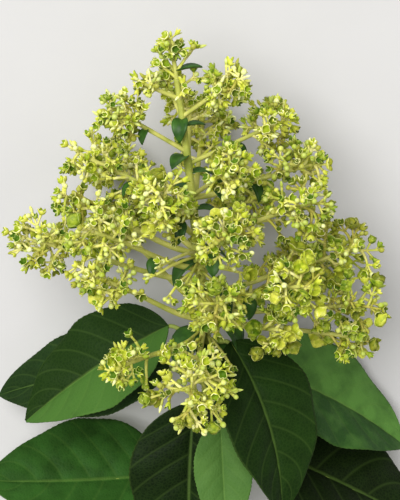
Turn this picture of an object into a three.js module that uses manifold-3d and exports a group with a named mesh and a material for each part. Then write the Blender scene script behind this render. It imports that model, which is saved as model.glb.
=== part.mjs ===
// A cut stem of panicle hydrangea, its flower head still in bud, laid on its back on a table.
//
// Sizes are millimetres and degrees. +Y runs up the stem to the tip of the head, +Z away from the
// table, and +X to the right of a viewer who looks down on it. A bearing is counted round the stem:
// 0 faces the viewer, 90 is to the right, 180 faces the table and 270 is to the left. Heights on the
// stem are counted from the foot of the head: the tip is above 0 and the cut end below it.
import * as THREE from "three";
import { mergeVertices } from "three/addons/utils/BufferGeometryUtils.js";
import Module from "manifold-3d";

// Driving dimensions.
const CLEAR = 0.3; // between pieces that touch on the plant
const SEED = 7001;
const stem = {
  tip: 101,
  cut: -112,
  lean: 12.8, // how far the head leans to the left at leanAt
  leanAt: 116,
  leanCurve: 0.37,
  tailLean: 7, // how far the cut end lies to the right
  tipRadius: 1.1,
  footRadius: 2.2,
  cutRadius: 3.1,
  sides: 8,
  steps: 16,
};
// The heights of the head's axis and of the cut end above the table, and how late the stem bends.
const lie = { axis: 58, cut: 3.2, curve: 1.7 };
const bough = { foot: 1.35, tip: 0.95, sides: 6, steps: 3, bow: 0.2, shortest: 33 };
const twig = { stalk: 0.8, main: 0.6, fork: 0.38, stalkSides: 4 };
// A tuft's radius is a share of its cluster's, and its neck and point lie before and beyond its middle.
const tuft = { share: 0.29, least: 2.6, most: 4.4, vary: 0.28, neck: 1.1, point: 0.8, sides: 3 };
// Lengths in a cluster are shares of its radius, and forkAside is millimetres on its outer ball.
const cluster = {
  twigsPerRadius: 0.42,
  neck: 0.75, // its stalk starts this far short of the middle
  end: 0.25, // and ends this far beyond it
  table: 0.72, // the middle of one on the underside lies at least this high above the table
  firstCosine: 0.97, // the first twig points along the stalk
  lastCosine: -0.5, // and the last one partly back
  firstTwig: 0.15, // where the backmost twig leaves the stalk, as a share of its length
  jitter: 24,
  vary: 0.12,
  forkAt: 0.4,
  forkAside: 11,
  forkShare: 0.86,
  forkTurns: 6,
  tries: [1, 0.82, 0.64],
};
const GOLDEN_ANGLE = 137.508;

// The head's branches. Each has its height on the stem, its bearing, its rise above square to the
// stem, its reach from the stem's axis to the middle of its cluster, and that cluster's radius.
const branches = [
  { name: "crown_left", height: 93, bearing: 280, rise: 25, reach: 14, radius: 6 },
  { name: "crown_right", height: 86, bearing: 74, rise: 37, reach: 22, radius: 10.5 },
  { name: "crown_back", height: 85, bearing: 209, rise: 45, reach: 17, radius: 6 },
  { name: "upper_left", height: 72, bearing: 289, rise: 33, reach: 31, radius: 11 },
  { name: "upper_right", height: 67, bearing: 109, rise: 20, reach: 36, radius: 13 },
  { name: "upper_back", height: 68, bearing: 178, rise: 31, reach: 29, radius: 11 },
  { name: "shoulder_right", height: 53, bearing: 88, rise: 17, reach: 44, radius: 14 },
  { name: "shoulder_front", height: 54, bearing: 28, rise: 30, reach: 35, radius: 12 },
  { name: "shoulder_left", height: 49, bearing: 261, rise: 24, reach: 44, radius: 14.5 },
  { name: "shoulder_back", height: 49, bearing: 174, rise: 36, reach: 45, radius: 14 },
  { name: "middle_front", height: 37, bearing: 340, rise: 35, reach: 46, radius: 13 },
  { name: "middle_right", height: 36, bearing: 68, rise: 23, reach: 48, radius: 14 },
  { name: "middle_left", height: 29, bearing: 277, rise: 27, reach: 53, radius: 12 },
  { name: "middle_floor", height: 30, bearing: 219, rise: 24, reach: 58, radius: 13 },
  { name: "waist_left", height: 23, bearing: 309, rise: 27, reach: 54, radius: 14 },
  { name: "waist_front", height: 26, bearing: 12, rise: 29, reach: 51, radius: 13 },
  { name: "waist_right", height: 13, bearing: 98, rise: 14, reach: 59, radius: 16.5 },
  { name: "waist_floor", height: 19, bearing: 158, rise: 25, reach: 55, radius: 15 },
  { name: "skirt_mid", height: 1, bearing: 304, rise: 30, reach: 53, radius: 13.5 },
  { name: "skirt_left", height: 18, bearing: 268, rise: 14, reach: 65, radius: 16.5 },
  { name: "skirt_floor", height: 7, bearing: 218, rise: 19, reach: 63, radius: 16 },
  { name: "skirt_front", height: 10, bearing: 46, rise: 20, reach: 52, radius: 12.5 },
  { name: "skirt_right", height: 6, bearing: 78, rise: 6, reach: 60, radius: 14.5 },
  { name: "foot_left", height: -4, bearing: 327, rise: 5, reach: 55, radius: 8.5 },
  { name: "foot_floor", height: 3, bearing: 138, rise: 5, reach: 62, radius: 16 },
  { name: "foot_mid", height: 6, bearing: 7, rise: 23, reach: 49, radius: 14 },
  { name: "foot_right", height: 4, bearing: 84, rise: -7, reach: 60, radius: 9 },
  { name: "foot_low", height: 0, bearing: 44, rise: 12, reach: 40, radius: 10 },
  { name: "foot_front", height: 0, bearing: 356, rise: -4, reach: 58, radius: 18.5 },
];
// The tip of the head is a cluster too, whose stalk carries straight on from the stem.
const tip = { name: "tip", neck: 5.5, middle: 13, radius: 5.5 };

// The small leaves at the head's nodes, fused on the stem.
const bracts = [
  { height: 99, bearing: 75, length: 7, droop: 25 },
  { height: 85, bearing: 348, length: 9, droop: 80 },
  { height: 82, bearing: 95, length: 8, droop: 15 },
  { height: 63, bearing: 106, length: 9, droop: 25 },
  { height: 48, bearing: 92, length: 10, droop: 30 },
  { height: 44, bearing: 262, length: 10, droop: 40 },
  { height: 31, bearing: 100, length: 11, droop: 35 },
  { height: 22, bearing: 230, length: 12, droop: 45 },
];
const bractBlade = { thick: 0.7, width: 0.72, rise: 20, cup: 0.25, along: 3, across: 2 };

// The large leaves. at is the height on the stem and the bearing. The stalk has a length and a lift
// above square to the stem, and the blade a length and a width. The blade hangs by an angle from its
// stalk, droops by another on the way to its tip, and is rolled to turn its upper side to the viewer.
const leaves = [
  { name: "leaf_left", at: [-7, 266], stalk: [14, 21], blade: [75, 47], hang: 51, droop: 15, roll: 46 },
  { name: "leaf_right", at: [-7, 48], stalk: [12, 11], blade: [74, 51], hang: 58, droop: 46, roll: 9 },
  { name: "leaf_far_right", at: [-24, 114], stalk: [18, 1], blade: [93, 56], hang: 26, droop: 20, roll: 44 },
  { name: "leaf_far_left", at: [-29, 248], stalk: [16, 15], blade: [86, 44], hang: 25, droop: 17, roll: 56 },
  { name: "leaf_front", at: [-31, 334], stalk: [11, -5], blade: [76, 54], hang: 73, droop: 22, roll: 20 },
  { name: "leaf_low_right", at: [-57, 92], stalk: [13, -12], blade: [92, 74], hang: 13, droop: 8, roll: 24 },
  { name: "leaf_low_left", at: [-84, 284], stalk: [18, 8], blade: [82, 64], hang: 7, droop: -8, roll: 34 },
  { name: "leaf_young", at: [-36, 9], stalk: [25, 5], blade: [50, 26], hang: 74, droop: 4, roll: 4 },
];
const leafStalk = { foot: 1.4, tip: 0.8, sides: 5 };
const blade = { thick: 1.05, fold: 16, curl: 3, tipShare: 0.03, along: 8, across: 4 };
// The egg-shaped outline of a blade: where its widest place lies, how full it is and how it narrows.
const egg = { shift: 0.82, full: 0.75, narrow: 0.22 };

const X = new THREE.Vector3(1, 0, 0);
const Y = new THREE.Vector3(0, 1, 0);
const Z = new THREE.Vector3(0, 0, 1);
const radians = THREE.MathUtils.degToRad;
const mix = THREE.MathUtils.lerp;

// A seeded draw from 0 to 1 that any language with whole numbers can repeat.
function makeRandom(seed) {
  let state = seed;
  return () => {
    state = (state * 48271) % 2147483647;
    return state / 2147483647;
  };
}

// The stem's centre line and radius at a height on it.
function stemPoint(height) {
  if (height >= 0) {
    const u = height / stem.leanAt;
    const lean = stem.lean * ((1 - stem.leanCurve) * u + stem.leanCurve * u * u);
    return new THREE.Vector3(-lean, height, lie.axis);
  }
  const v = height / stem.cut;
  return new THREE.Vector3(stem.tailLean * v, height, mix(lie.axis, lie.cut, v ** lie.curve));
}

function stemRadius(height) {
  const [end, radius] = height >= 0 ? [stem.tip, stem.tipRadius] : [stem.cut, stem.cutRadius];
  return mix(stem.footRadius, radius, Math.min(height / end, 1));
}

// The direction of something that leaves the stem at a bearing and a rise above square to it.
function outward(bearing, rise) {
  const b = radians(bearing);
  const r = radians(rise);
  return new THREE.Vector3(Math.sin(b) * Math.cos(r), Math.sin(r), Math.cos(b) * Math.cos(r));
}

// Two directions square to a third.
function squareTo(direction) {
  const other = Math.abs(direction.z) < 0.9 ? Z : X;
  const side = new THREE.Vector3().crossVectors(direction, other).normalize();
  return [side, new THREE.Vector3().crossVectors(side, direction)];
}

// A direction tilted away from another, and then turned round it.
function turned(direction, tilt, turn) {
  const [side, up] = squareTo(direction);
  return direction
    .clone()
    .multiplyScalar(Math.cos(tilt))
    .addScaledVector(side, Math.sin(tilt) * Math.cos(turn))
    .addScaledVector(up, Math.sin(tilt) * Math.sin(turn));
}

// A tapering limb along a curve, made from a cylinder whose rings are moved onto the curve.
function limbGeometry(pointAt, radiusAt, sides, steps) {
  const geometry = new THREE.CylinderGeometry(1, 1, 1, sides, steps);
  const place = geometry.getAttribute("position");
  const probe = 0.01;
  for (let i = 0; i < place.count; i++) {
    const t = place.getY(i) + 0.5;
    const before = Math.max(0, t - probe);
    const along = pointAt(Math.min(1, before + 2 * probe)).sub(pointAt(before)).normalize();
    const [side, up] = squareTo(along);
    const r = radiusAt(t);
    const p = pointAt(t).addScaledVector(side, place.getX(i) * r).addScaledVector(up, place.getZ(i) * r);
    place.setXYZ(i, p.x, p.y, p.z);
  }
  return geometry;
}

const straight = (from, to) => (t) => from.clone().lerp(to, t);
const taper = (from, to) => (t) => mix(from, to, t);

// A fine twig that swells into a pointed tuft of buds. Its rings are the foot, the neck, the belly
// and the point.
function tuftGeometry({ from, end, radius, neck }) {
  const length = from.distanceTo(end);
  const places = [0, 1 - (tuft.neck * radius) / length, 1, 1 + (tuft.point * radius) / length];
  const radii = [neck, neck, radius, 0];
  const rings = places.length - 1;
  const geometry = new THREE.ConeGeometry(1, 1, tuft.sides, rings);
  const place = geometry.getAttribute("position");
  const [side, up] = squareTo(end.clone().sub(from).normalize());
  for (let i = 0; i < place.count; i++) {
    const ring = Math.round((place.getY(i) + 0.5) * rings);
    const coneRadius = 1 - ring / rings || 1;
    const swell = radii[ring] / coneRadius;
    const p = from.clone().lerp(end, places[ring]);
    p.addScaledVector(side, place.getX(i) * swell).addScaledVector(up, place.getZ(i) * swell);
    place.setXYZ(i, p.x, p.y, p.z);
  }
  return geometry;
}

// Joins closed pieces into one closed solid. A scrap that touches nothing is dropped, and so is the
// shell of a hollow that the joining has sealed.
const wasm = await Module();
wasm.setup();

function solidOf(geometry) {
  const bare = geometry.clone();
  bare.deleteAttribute("normal");
  bare.deleteAttribute("uv");
  const merged = mergeVertices(bare, 1e-4);
  const vertProperties = merged.getAttribute("position").array;
  const triVerts = new Uint32Array(merged.index.array);
  return new wasm.Manifold(new wasm.Mesh({ numProp: 3, vertProperties, triVerts }));
}

function fuse(geometries) {
  const joined = geometries.map(solidOf).reduce((sum, next) => sum.add(next));
  const [whole] = joined.decompose().sort((a, b) => b.volume() - a.volume());
  const mesh = whole.getMesh();
  const geometry = new THREE.BufferGeometry();
  geometry.setAttribute("position", new THREE.BufferAttribute(new Float32Array(mesh.vertProperties), 3));
  geometry.setIndex(new THREE.BufferAttribute(new Uint32Array(mesh.triVerts), 1));
  geometry.computeVertexNormals();
  return geometry;
}

// Where a limb starts, so that its end just clears the stem. It lies in a direction from the stem's
// axis and sets off along another, and its end is a flat disc of a radius.
function seat(height, direction, setOff, radius) {
  const grain = stemPoint(height + 1).sub(stemPoint(height - 1)).normalize();
  const square = direction.clone().addScaledVector(grain, -direction.dot(grain));
  const share = square.length();
  const lean = new THREE.Vector3().crossVectors(setOff, square).length() / share;
  const distance = (stemRadius(height) + CLEAR + radius * lean) / share;
  return stemPoint(height).addScaledVector(direction, distance);
}

// Where a branch leaves the stem, where its cluster's stalk starts and where the cluster's middle is.
// The table presses a branch on the underside flat. A short branch has a stalk only.
function branchPlan(branch, index) {
  const axis = stemPoint(branch.height);
  const middle = axis.clone().addScaledVector(outward(branch.bearing, branch.rise), branch.reach);
  middle.z = Math.max(middle.z, cluster.table * branch.radius);
  const direction = middle.clone().sub(axis).normalize();
  const neck = middle.clone().addScaledVector(direction, -cluster.neck * branch.radius);
  const hasBough = neck.distanceTo(axis) > bough.shortest;
  const setOff = direction.clone().addScaledVector(Y, hasBough ? -bough.bow : 0).normalize();
  const start = seat(branch.height, direction, setOff, hasBough ? bough.foot : bough.tip);
  return { ...branch, index, direction, start, neck, middle, hasBough };
}

function tipPlan(index) {
  const foot = stemPoint(stem.tip);
  const direction = foot.clone().sub(stemPoint(stem.tip - 1)).normalize();
  const beyond = (distance) => foot.clone().addScaledVector(direction, distance);
  const places = { start: beyond(CLEAR), neck: beyond(tip.neck), middle: beyond(tip.middle) };
  return { name: tip.name, radius: tip.radius, index, direction, ...places, hasBough: false };
}

const plans = branches.map(branchPlan);
plans.push(tipPlan(plans.length));

// A bough's centre line. It sets off a little lower than straight to its end.
function boughPoint(plan) {
  const end = plan.neck.clone().addScaledVector(plan.direction, -CLEAR);
  const bow = bough.bow * end.distanceTo(plan.start);
  return (t) => straight(plan.start, end)(t).addScaledVector(Y, -bow * t * (1 - t) ** 2);
}

// The blade of a leaf: its midrib's points, and the directions across and out of it.
function leafPlan(leaf) {
  const [height, bearing] = leaf.at;
  const [stalkLength, lift] = leaf.stalk;
  const [length, width] = leaf.blade;
  const out = outward(bearing, lift);
  const start = seat(height, out, out, leafStalk.foot);
  const base = stemPoint(height).addScaledVector(out, stemRadius(height) + stalkLength);
  const hinge = new THREE.Vector3().crossVectors(out, Y).normalize();
  const roll = radians(leaf.roll) * Math.sign(out.x);
  const frames = [];
  const point = base.clone();
  for (let i = 0; i <= blade.along; i++) {
    const bend = radians(leaf.hang + (leaf.droop * i) / blade.along);
    const along = out.clone().applyAxisAngle(hinge, -bend);
    const normal = new THREE.Vector3().crossVectors(hinge, along).applyAxisAngle(along, roll);
    const across = new THREE.Vector3().crossVectors(normal, along);
    frames.push({ point: point.clone(), normal, across });
    point.addScaledVector(along, length / blade.along);
  }
  return { name: leaf.name, width, start, base, frames };
}

const leafPlans = leaves.map(leafPlan);

// Half the width of a blade, as a share of its greatest, from base to tip.
function outline(t) {
  const full = Math.sin(Math.PI * t ** egg.shift) ** egg.full;
  return Math.max(blade.tipShare, full * (1 - egg.narrow * t));
}

// How far a blade stands out from its midrib's plane at a distance across it: folded, then curled back.
function foldAt(across, width) {
  return Math.abs(across) * Math.tan(radians(blade.fold)) - across ** 2 / (blade.curl * width);
}

function leafGeometry(plan) {
  const box = new THREE.BoxGeometry(2, 1, 1, blade.across, 1, blade.along);
  const place = box.getAttribute("position");
  for (let i = 0; i < place.count; i++) {
    const t = THREE.MathUtils.clamp(place.getZ(i) + 0.5, 0, 1);
    const frame = plan.frames[Math.round(t * blade.along)];
    const across = (place.getX(i) * plan.width * outline(t)) / 2;
    const p = frame.point.clone().addScaledVector(frame.across, across);
    p.addScaledVector(frame.normal, foldAt(across, plan.width) + place.getY(i) * blade.thick);
    place.setXYZ(i, p.x, p.y, p.z);
  }
  const free = straight(plan.start, plan.base);
  const joined = straight(plan.base, plan.frames[1].point);
  const stalkLine = (t) => (t < 0.5 ? free(2 * t) : joined(2 * t - 1));
  const stalk = limbGeometry(stalkLine, taper(leafStalk.foot, leafStalk.tip), leafStalk.sides, 2);
  return fuse([box, stalk]);
}

// The limbs that twigs and tufts keep clear of, as straight stretches with a radius.
const limbs = [];
function addLimb(owner, pointAt, radius, steps) {
  for (let i = 0; i < steps; i++) {
    limbs.push({ owner, line: new THREE.Line3(pointAt(i / steps), pointAt((i + 1) / steps)), radius });
  }
}
const stemLine = (t) => stemPoint(mix(stem.cut, stem.tip, t));
addLimb("stem", stemLine, stem.footRadius, stem.steps);
plans.forEach((plan) => {
  if (plan.hasBough) {
    addLimb(plan.name, boughPoint(plan), bough.foot, bough.steps);
  } else {
    addLimb(plan.name, straight(plan.start, plan.neck), bough.tip, 1);
  }
});
leafPlans.forEach((plan) => addLimb(plan.name, straight(plan.start, plan.base), leafStalk.foot, 1));

// Balls that cover each blade, which tufts keep clear of too.
const ballPlaces = [-0.8, -0.4, 0, 0.4, 0.8];
const leafBalls = leafPlans.flatMap((plan) =>
  plan.frames.flatMap((frame, i) => {
    const half = (plan.width * outline(i / blade.along)) / 2;
    return ballPlaces.map((share) => {
      const centre = frame.point.clone().addScaledVector(frame.across, share * half);
      centre.addScaledVector(frame.normal, foldAt(share * half, plan.width));
      return { centre, radius: Math.max(2, half / 4) };
    });
  }),
);

// The least distance from a stretch, by samples of it, to a limb's surface.
function gapToLimb(from, to, limb) {
  const samples = [0, 0.25, 0.5, 0.75, 1].map((t) => from.clone().lerp(to, t));
  const nearest = new THREE.Vector3();
  const distances = samples.map((p) => limb.line.closestPointToPoint(p, true, nearest).distanceTo(p));
  return Math.min(...distances) - limb.radius;
}

// True where a ball lies in its own cluster's space. The border between two clusters is the plane
// that their radii set.
function inOwnSpace(plan, centre, radius) {
  return plans.every((other) => {
    if (other === plan) {
      return true;
    }
    const own = centre.distanceToSquared(plan.middle) - plan.radius ** 2;
    const theirs = centre.distanceToSquared(other.middle) - other.radius ** 2;
    return (theirs - own) / (2 * plan.middle.distanceTo(other.middle)) > radius + CLEAR / 2;
  });
}

// True where a twig and the ball at its end touch no limb and no leaf. The twig itself may meet its
// own branch, from which it grows.
function clearOfPlant(plan, from, end, radius) {
  const clearOfLimb = (limb) =>
    gapToLimb(end, end, limb) > radius + CLEAR &&
    (limb.owner === plan.name || gapToLimb(from, end, limb) > twig.stalk + CLEAR);
  const clearOfBall = (ball) => ball.centre.distanceTo(end) > ball.radius + radius + CLEAR;
  return limbs.every(clearOfLimb) && leafBalls.every(clearOfBall);
}

// A twig from a place towards a direction from its cluster's middle. A tuft that has no room at its
// full reach is tried nearer in, and then left out.
function tryTuft(plan, from, aim, reach, radius, neck) {
  for (const part of cluster.tries) {
    const end = plan.middle.clone().addScaledVector(aim, reach * part);
    end.z = Math.max(end.z, radius);
    if (inOwnSpace(plan, end, radius) && clearOfPlant(plan, from, end, radius)) {
      return { from, end, radius, neck };
    }
  }
  return null;
}

// The twigs of a cluster. They leave its stalk in directions laid out on a spiral, each ends in a
// tuft at the cluster's outer ball, and each forks on its way. The fork turns to where most room is.
function clusterPlan(plan) {
  const random = makeRandom(SEED + 97 * plan.index);
  const vary = (size) => 1 + size * (random() - 0.5);
  const size = THREE.MathUtils.clamp(tuft.share * plan.radius, tuft.least, tuft.most);
  const stalkEnd = plan.middle.clone().addScaledVector(plan.direction, cluster.end * plan.radius);
  const tufts = [];
  const roomAt = ({ end }) => Math.min(plan.radius, ...tufts.map((other) => other.end.distanceTo(end)));
  const count = Math.round(cluster.twigsPerRadius * plan.radius);
  const firstTurn = random() * 360;
  for (let i = 0; i <= count; i++) {
    const tilt = Math.acos(mix(cluster.firstCosine, cluster.lastCosine, i / count));
    const turn = radians(firstTurn + GOLDEN_ANGLE * i + (random() - 0.5) * cluster.jitter);
    const aim = turned(plan.direction, tilt, turn);
    const from = plan.neck.clone().lerp(stalkEnd, mix(1, cluster.firstTwig, i / count));
    const radius = size * vary(tuft.vary);
    const reach = plan.radius * vary(cluster.vary) - tuft.point * radius;
    const forkTurn = random() * 360;
    const main = tryTuft(plan, from, aim, reach, radius, twig.main);
    if (!main) {
      continue;
    }
    tufts.push(main);
    const forkFrom = from.clone().lerp(main.end, cluster.forkAt);
    const forks = [];
    for (let k = 0; k < cluster.forkTurns; k++) {
      const forkAngle = radians(forkTurn + (360 * k) / cluster.forkTurns);
      const forkAim = turned(aim, cluster.forkAside / plan.radius, forkAngle);
      forks.push(tryTuft(plan, forkFrom, forkAim, reach, cluster.forkShare * radius, twig.fork));
    }
    const [fork] = forks.filter(Boolean).sort((a, b) => roomAt(b) - roomAt(a));
    if (fork && roomAt(fork) > size) {
      tufts.push(fork);
    }
  }
  return { stalkEnd, tufts };
}

function clusterGeometry(plan) {
  const { stalkEnd, tufts } = clusterPlan(plan);
  const stalkLine = straight(plan.hasBough ? plan.neck : plan.start, stalkEnd);
  const stalk = limbGeometry(stalkLine, taper(bough.tip, twig.stalk), twig.stalkSides, 1);
  return fuse([stalk, ...tufts.map(tuftGeometry)]);
}

// A small leaf fused on the stem at a node of the head.
function bractGeometry({ height, bearing, length, droop }) {
  const out = outward(bearing, bractBlade.rise);
  const hinge = new THREE.Vector3().crossVectors(out, Y).normalize();
  const box = new THREE.BoxGeometry(2, 1, 1, bractBlade.across, 1, bractBlade.along);
  const place = box.getAttribute("position");
  for (let i = 0; i < place.count; i++) {
    const t = THREE.MathUtils.clamp(place.getZ(i) + 0.5, 0, 1);
    const along = out.clone().applyAxisAngle(hinge, -radians(droop) * t);
    const normal = new THREE.Vector3().crossVectors(hinge, along);
    const across = new THREE.Vector3().crossVectors(normal, along);
    const half = (length * bractBlade.width * Math.max(0.12, Math.sin(Math.PI * mix(0.1, 0.96, t)))) / 2;
    const cup = bractBlade.cup * Math.abs(place.getX(i)) * half;
    const p = stemPoint(height)
      .addScaledVector(along, t * length + stemRadius(height) / 2)
      .addScaledVector(across, place.getX(i) * half)
      .addScaledVector(normal, place.getY(i) * bractBlade.thick + cup);
    place.setXYZ(i, p.x, p.y, p.z);
  }
  return box;
}

const bark = new THREE.MeshStandardMaterial({ color: 0x9fae62, roughness: 0.6, metalness: 0 });
const bud = new THREE.MeshStandardMaterial({ color: 0xb9c653, roughness: 0.55, metalness: 0 });
const foliage = new THREE.MeshStandardMaterial({ color: 0x3f6a2c, roughness: 0.5, metalness: 0 });

const plant = new THREE.Group();
function add(name, geometry, material) {
  const mesh = new THREE.Mesh(geometry, material);
  mesh.name = name;
  plant.add(mesh);
}

const radiusOnStem = (t) => stemRadius(mix(stem.cut, stem.tip, t));
const stemCore = limbGeometry(stemLine, radiusOnStem, stem.sides, stem.steps);
add("main_stem", fuse([stemCore, ...bracts.map(bractGeometry)]), bark);
plans.forEach((plan) => {
  if (plan.hasBough) {
    const shape = limbGeometry(boughPoint(plan), taper(bough.foot, bough.tip), bough.sides, bough.steps);
    add(`branch_${plan.name}`, shape, bark);
  }
  add(`cluster_${plan.name}`, clusterGeometry(plan), bud);
});
leafPlans.forEach((plan) => add(plan.name, leafGeometry(plan), foliage));

// The origin is under the middle of the plant, on the table.
const bounds = new THREE.Box3().setFromObject(plant);
const centre = bounds.getCenter(new THREE.Vector3());
plant.position.set(-centre.x, -centre.y, -bounds.min.z);

export default plant;
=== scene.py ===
"""A cut stem of panicle hydrangea, its flower head still in bud, laid on its back in a studio.

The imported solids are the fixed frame. The plant grows here by the same rule as the solids and from the
same sizes. It is then carried on to finer twigs, round buds, curled sepal cups and veined leaves.

Sizes are in millimetres and degrees. +Y runs up the stem to the tip of the head, +Z away from the table
and +X to the right of a viewer who looks down on it. A bearing is counted round the stem: 0 faces the
viewer, 90 is to the right, 180 faces the table and 270 is to the left. Heights on the stem are counted
from the foot of the head. Only the finished meshes are in metres, in the frame of the solids.
"""

import logging
import math
import random
from collections.abc import Callable, Sequence
from dataclasses import dataclass, field
from enum import Enum
from typing import TypeVar

import bmesh
import bpy
import numpy as np
from bmesh.types import BMesh
from bpy.types import Material, Mesh, Node, NodeSocket, NodeTree, Object
from mathutils import Matrix, Vector

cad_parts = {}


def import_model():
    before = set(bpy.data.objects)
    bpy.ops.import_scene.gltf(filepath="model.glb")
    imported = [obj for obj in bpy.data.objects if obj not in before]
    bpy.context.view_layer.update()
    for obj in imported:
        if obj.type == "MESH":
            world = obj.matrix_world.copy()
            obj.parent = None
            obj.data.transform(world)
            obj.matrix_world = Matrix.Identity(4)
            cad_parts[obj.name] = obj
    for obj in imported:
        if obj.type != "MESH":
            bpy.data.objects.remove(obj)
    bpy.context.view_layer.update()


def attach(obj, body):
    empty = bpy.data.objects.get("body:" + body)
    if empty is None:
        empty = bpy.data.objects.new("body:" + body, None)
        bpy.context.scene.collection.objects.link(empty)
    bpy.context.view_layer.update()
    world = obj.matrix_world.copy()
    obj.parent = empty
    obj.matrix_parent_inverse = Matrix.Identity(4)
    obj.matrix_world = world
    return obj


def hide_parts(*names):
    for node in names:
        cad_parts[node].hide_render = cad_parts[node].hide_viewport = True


LOG = logging.getLogger("hydrangea")
Array = np.ndarray
# Two limits, or two sizes that go together.
Pair = tuple[float, float]
Triple = tuple[float, float, float]
# The point at a share of the way along a line.
Curve = Callable[[float], Array]
Value = TypeVar("Value", float, Array)
Sockets = tuple[NodeSocket, NodeSocket]

METRES = 0.001
# Where the source's zero, the stem's axis at the foot of the head, lies in the frame of the solids.
PLACE = np.array([-3.002, -2.483, -0.802])
# Each cluster's draw starts this far from the one before.
SEED, SEED_STEP = 7001, 97
# Pieces that touch on the plant are this far apart in the solids.
CLEAR = 0.3
# Twigs follow each other round their stalk by this angle.
GOLDEN_ANGLE = 137.508
# A direction with more than this of Z_AXIS in it is squared off against X_AXIS instead.
NEARLY_UPRIGHT = 0.9
X_AXIS = np.array([1.0, 0.0, 0.0])
Y_AXIS = np.array([0.0, 1.0, 0.0])
Z_AXIS = np.array([0.0, 0.0, 1.0])


def unit(vector: Array) -> Array:
    """Returns a vector, or each of several, at length 1."""
    return vector / np.linalg.norm(vector, axis=-1, keepdims=True)


def mix(start: Value, end: Value, share: float) -> Value:
    """Returns the value that lies a share of the way from start to end."""
    return start + (end - start) * share


def outward(bearing: float, rise: float) -> Array:
    """Returns the direction that leaves the stem at a bearing and a rise above square to it."""
    b, r = math.radians(bearing), math.radians(rise)
    return np.array([math.sin(b) * math.cos(r), math.sin(r), math.cos(b) * math.cos(r)])


def square_to(direction: Array) -> tuple[Array, Array]:
    """Finds two directions square to a third, or to several, by the source's rule.

    Args:
        direction: The third direction.

    Returns:
        The two directions.
    """
    other = np.where(np.abs(direction[..., 2:]) < NEARLY_UPRIGHT, Z_AXIS, X_AXIS)
    side = unit(np.cross(direction, other))
    return side, np.cross(side, direction)


def turned(direction: Array, tilt: float, turn: float) -> Array:
    """Tilts a direction away from itself and turns it round where it was.

    Args:
        direction: The direction.
        tilt: How far it is tilted, in radians.
        turn: How far it is turned, in radians.

    Returns:
        The new direction.
    """
    side, up = square_to(direction)
    across = side * math.cos(turn) + up * math.sin(turn)
    return direction * math.cos(tilt) + across * math.sin(tilt)


def rotated(vector: Array, axis: Array, angle: float) -> Array:
    """Returns a vector turned round an axis by an angle in radians."""
    turn = Matrix.Rotation(angle, 3, Vector(axis))
    return np.array(turn @ Vector(vector))


def round_half_up(value: float) -> int:
    """Returns the nearest whole number, a half rounded up."""
    return math.floor(value + 0.5)


def straight(start: Array, end: Array) -> Curve:
    """Makes the curve that runs straight from one point to another.

    Args:
        start: The first point.
        end: The last point.

    Returns:
        The curve, from 0 at the first point to 1 at the last.
    """

    def at(t: float) -> Array:
        """Returns the point at a share of the way."""
        return mix(start, end, t)

    return at


def to_frame(points: Array) -> Array:
    """Returns points of the source, in millimetres, in the frame of the solids, in metres."""
    return (points + PLACE) * METRES


@dataclass
class SeededDraw:
    """The source's seeded draw of numbers from 0 to 1."""

    FACTOR = 48271
    MODULUS = 2147483647

    state: int

    def __call__(self) -> float:
        """Returns the next number."""
        self.state = self.state * self.FACTOR % self.MODULUS
        return self.state / self.MODULUS


@dataclass(frozen=True)
class Blooms:
    """What the sprays of a cluster end in, as shares, and how full the sprays are."""

    buds: float
    long_buds: float
    cups: float
    wide: float
    fullness: float


class BloomMix(Enum):
    """The mixes of flowers in the head: more open and looser towards its foot and its right."""

    FRILLS = Blooms(0.14, 0.34, 0.52, 0.0, 0.85)
    BUDS = Blooms(0.3, 0.18, 0.49, 0.03, 0.5)
    RIMS = Blooms(0.28, 0.14, 0.5, 0.08, 0.4)
    OPEN = Blooms(0.18, 0.12, 0.4, 0.3, 0.4)


class Part(Enum):
    """The slots of a flower's materials."""

    OUTSIDE = 0
    HOLLOW = 1
    RIM = 2


@dataclass(frozen=True)
class SprayColours:
    """The plain colours of one spray, as sRGB."""

    bud: str
    sepal: str
    # The hollow's two colours are darker greens: painted shade in the mouth of a cup.
    hollow: str
    deep_shade: str
    # The rim's colour is the palest: a painted highlight along the sepals' edges.
    rim: str
    twig: str


class Tint(Enum):
    """The colours that the sprays are dealt."""

    PALE = SprayColours("#E1E5AA", "#D6D758", "#A0AA28", "#84961A", "#F6F2BE", "#E0DB96")
    LIME = SprayColours("#D0D88C", "#C4CB40", "#84981C", "#6A8612", "#EEEDA4", "#D4CE7C")
    GREEN = SprayColours("#B4C062", "#A0AF34", "#527012", "#3A5A0C", "#DEE094", "#C0BB64")
    OLIVE = SprayColours("#A8AA4A", "#989A30", "#5C6C18", "#465810", "#DAD890", "#B4AB54")


@dataclass(frozen=True)
class Branch:
    """A branch of the head and the cluster that it carries.

    The rise is above square to the stem. The reach runs from the stem's axis to the middle of the
    cluster.
    """

    name: str
    height: float
    bearing: float
    rise: float
    reach: float
    radius: float
    blooms: BloomMix = BloomMix.FRILLS
    bare: float = 0.35


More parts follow.
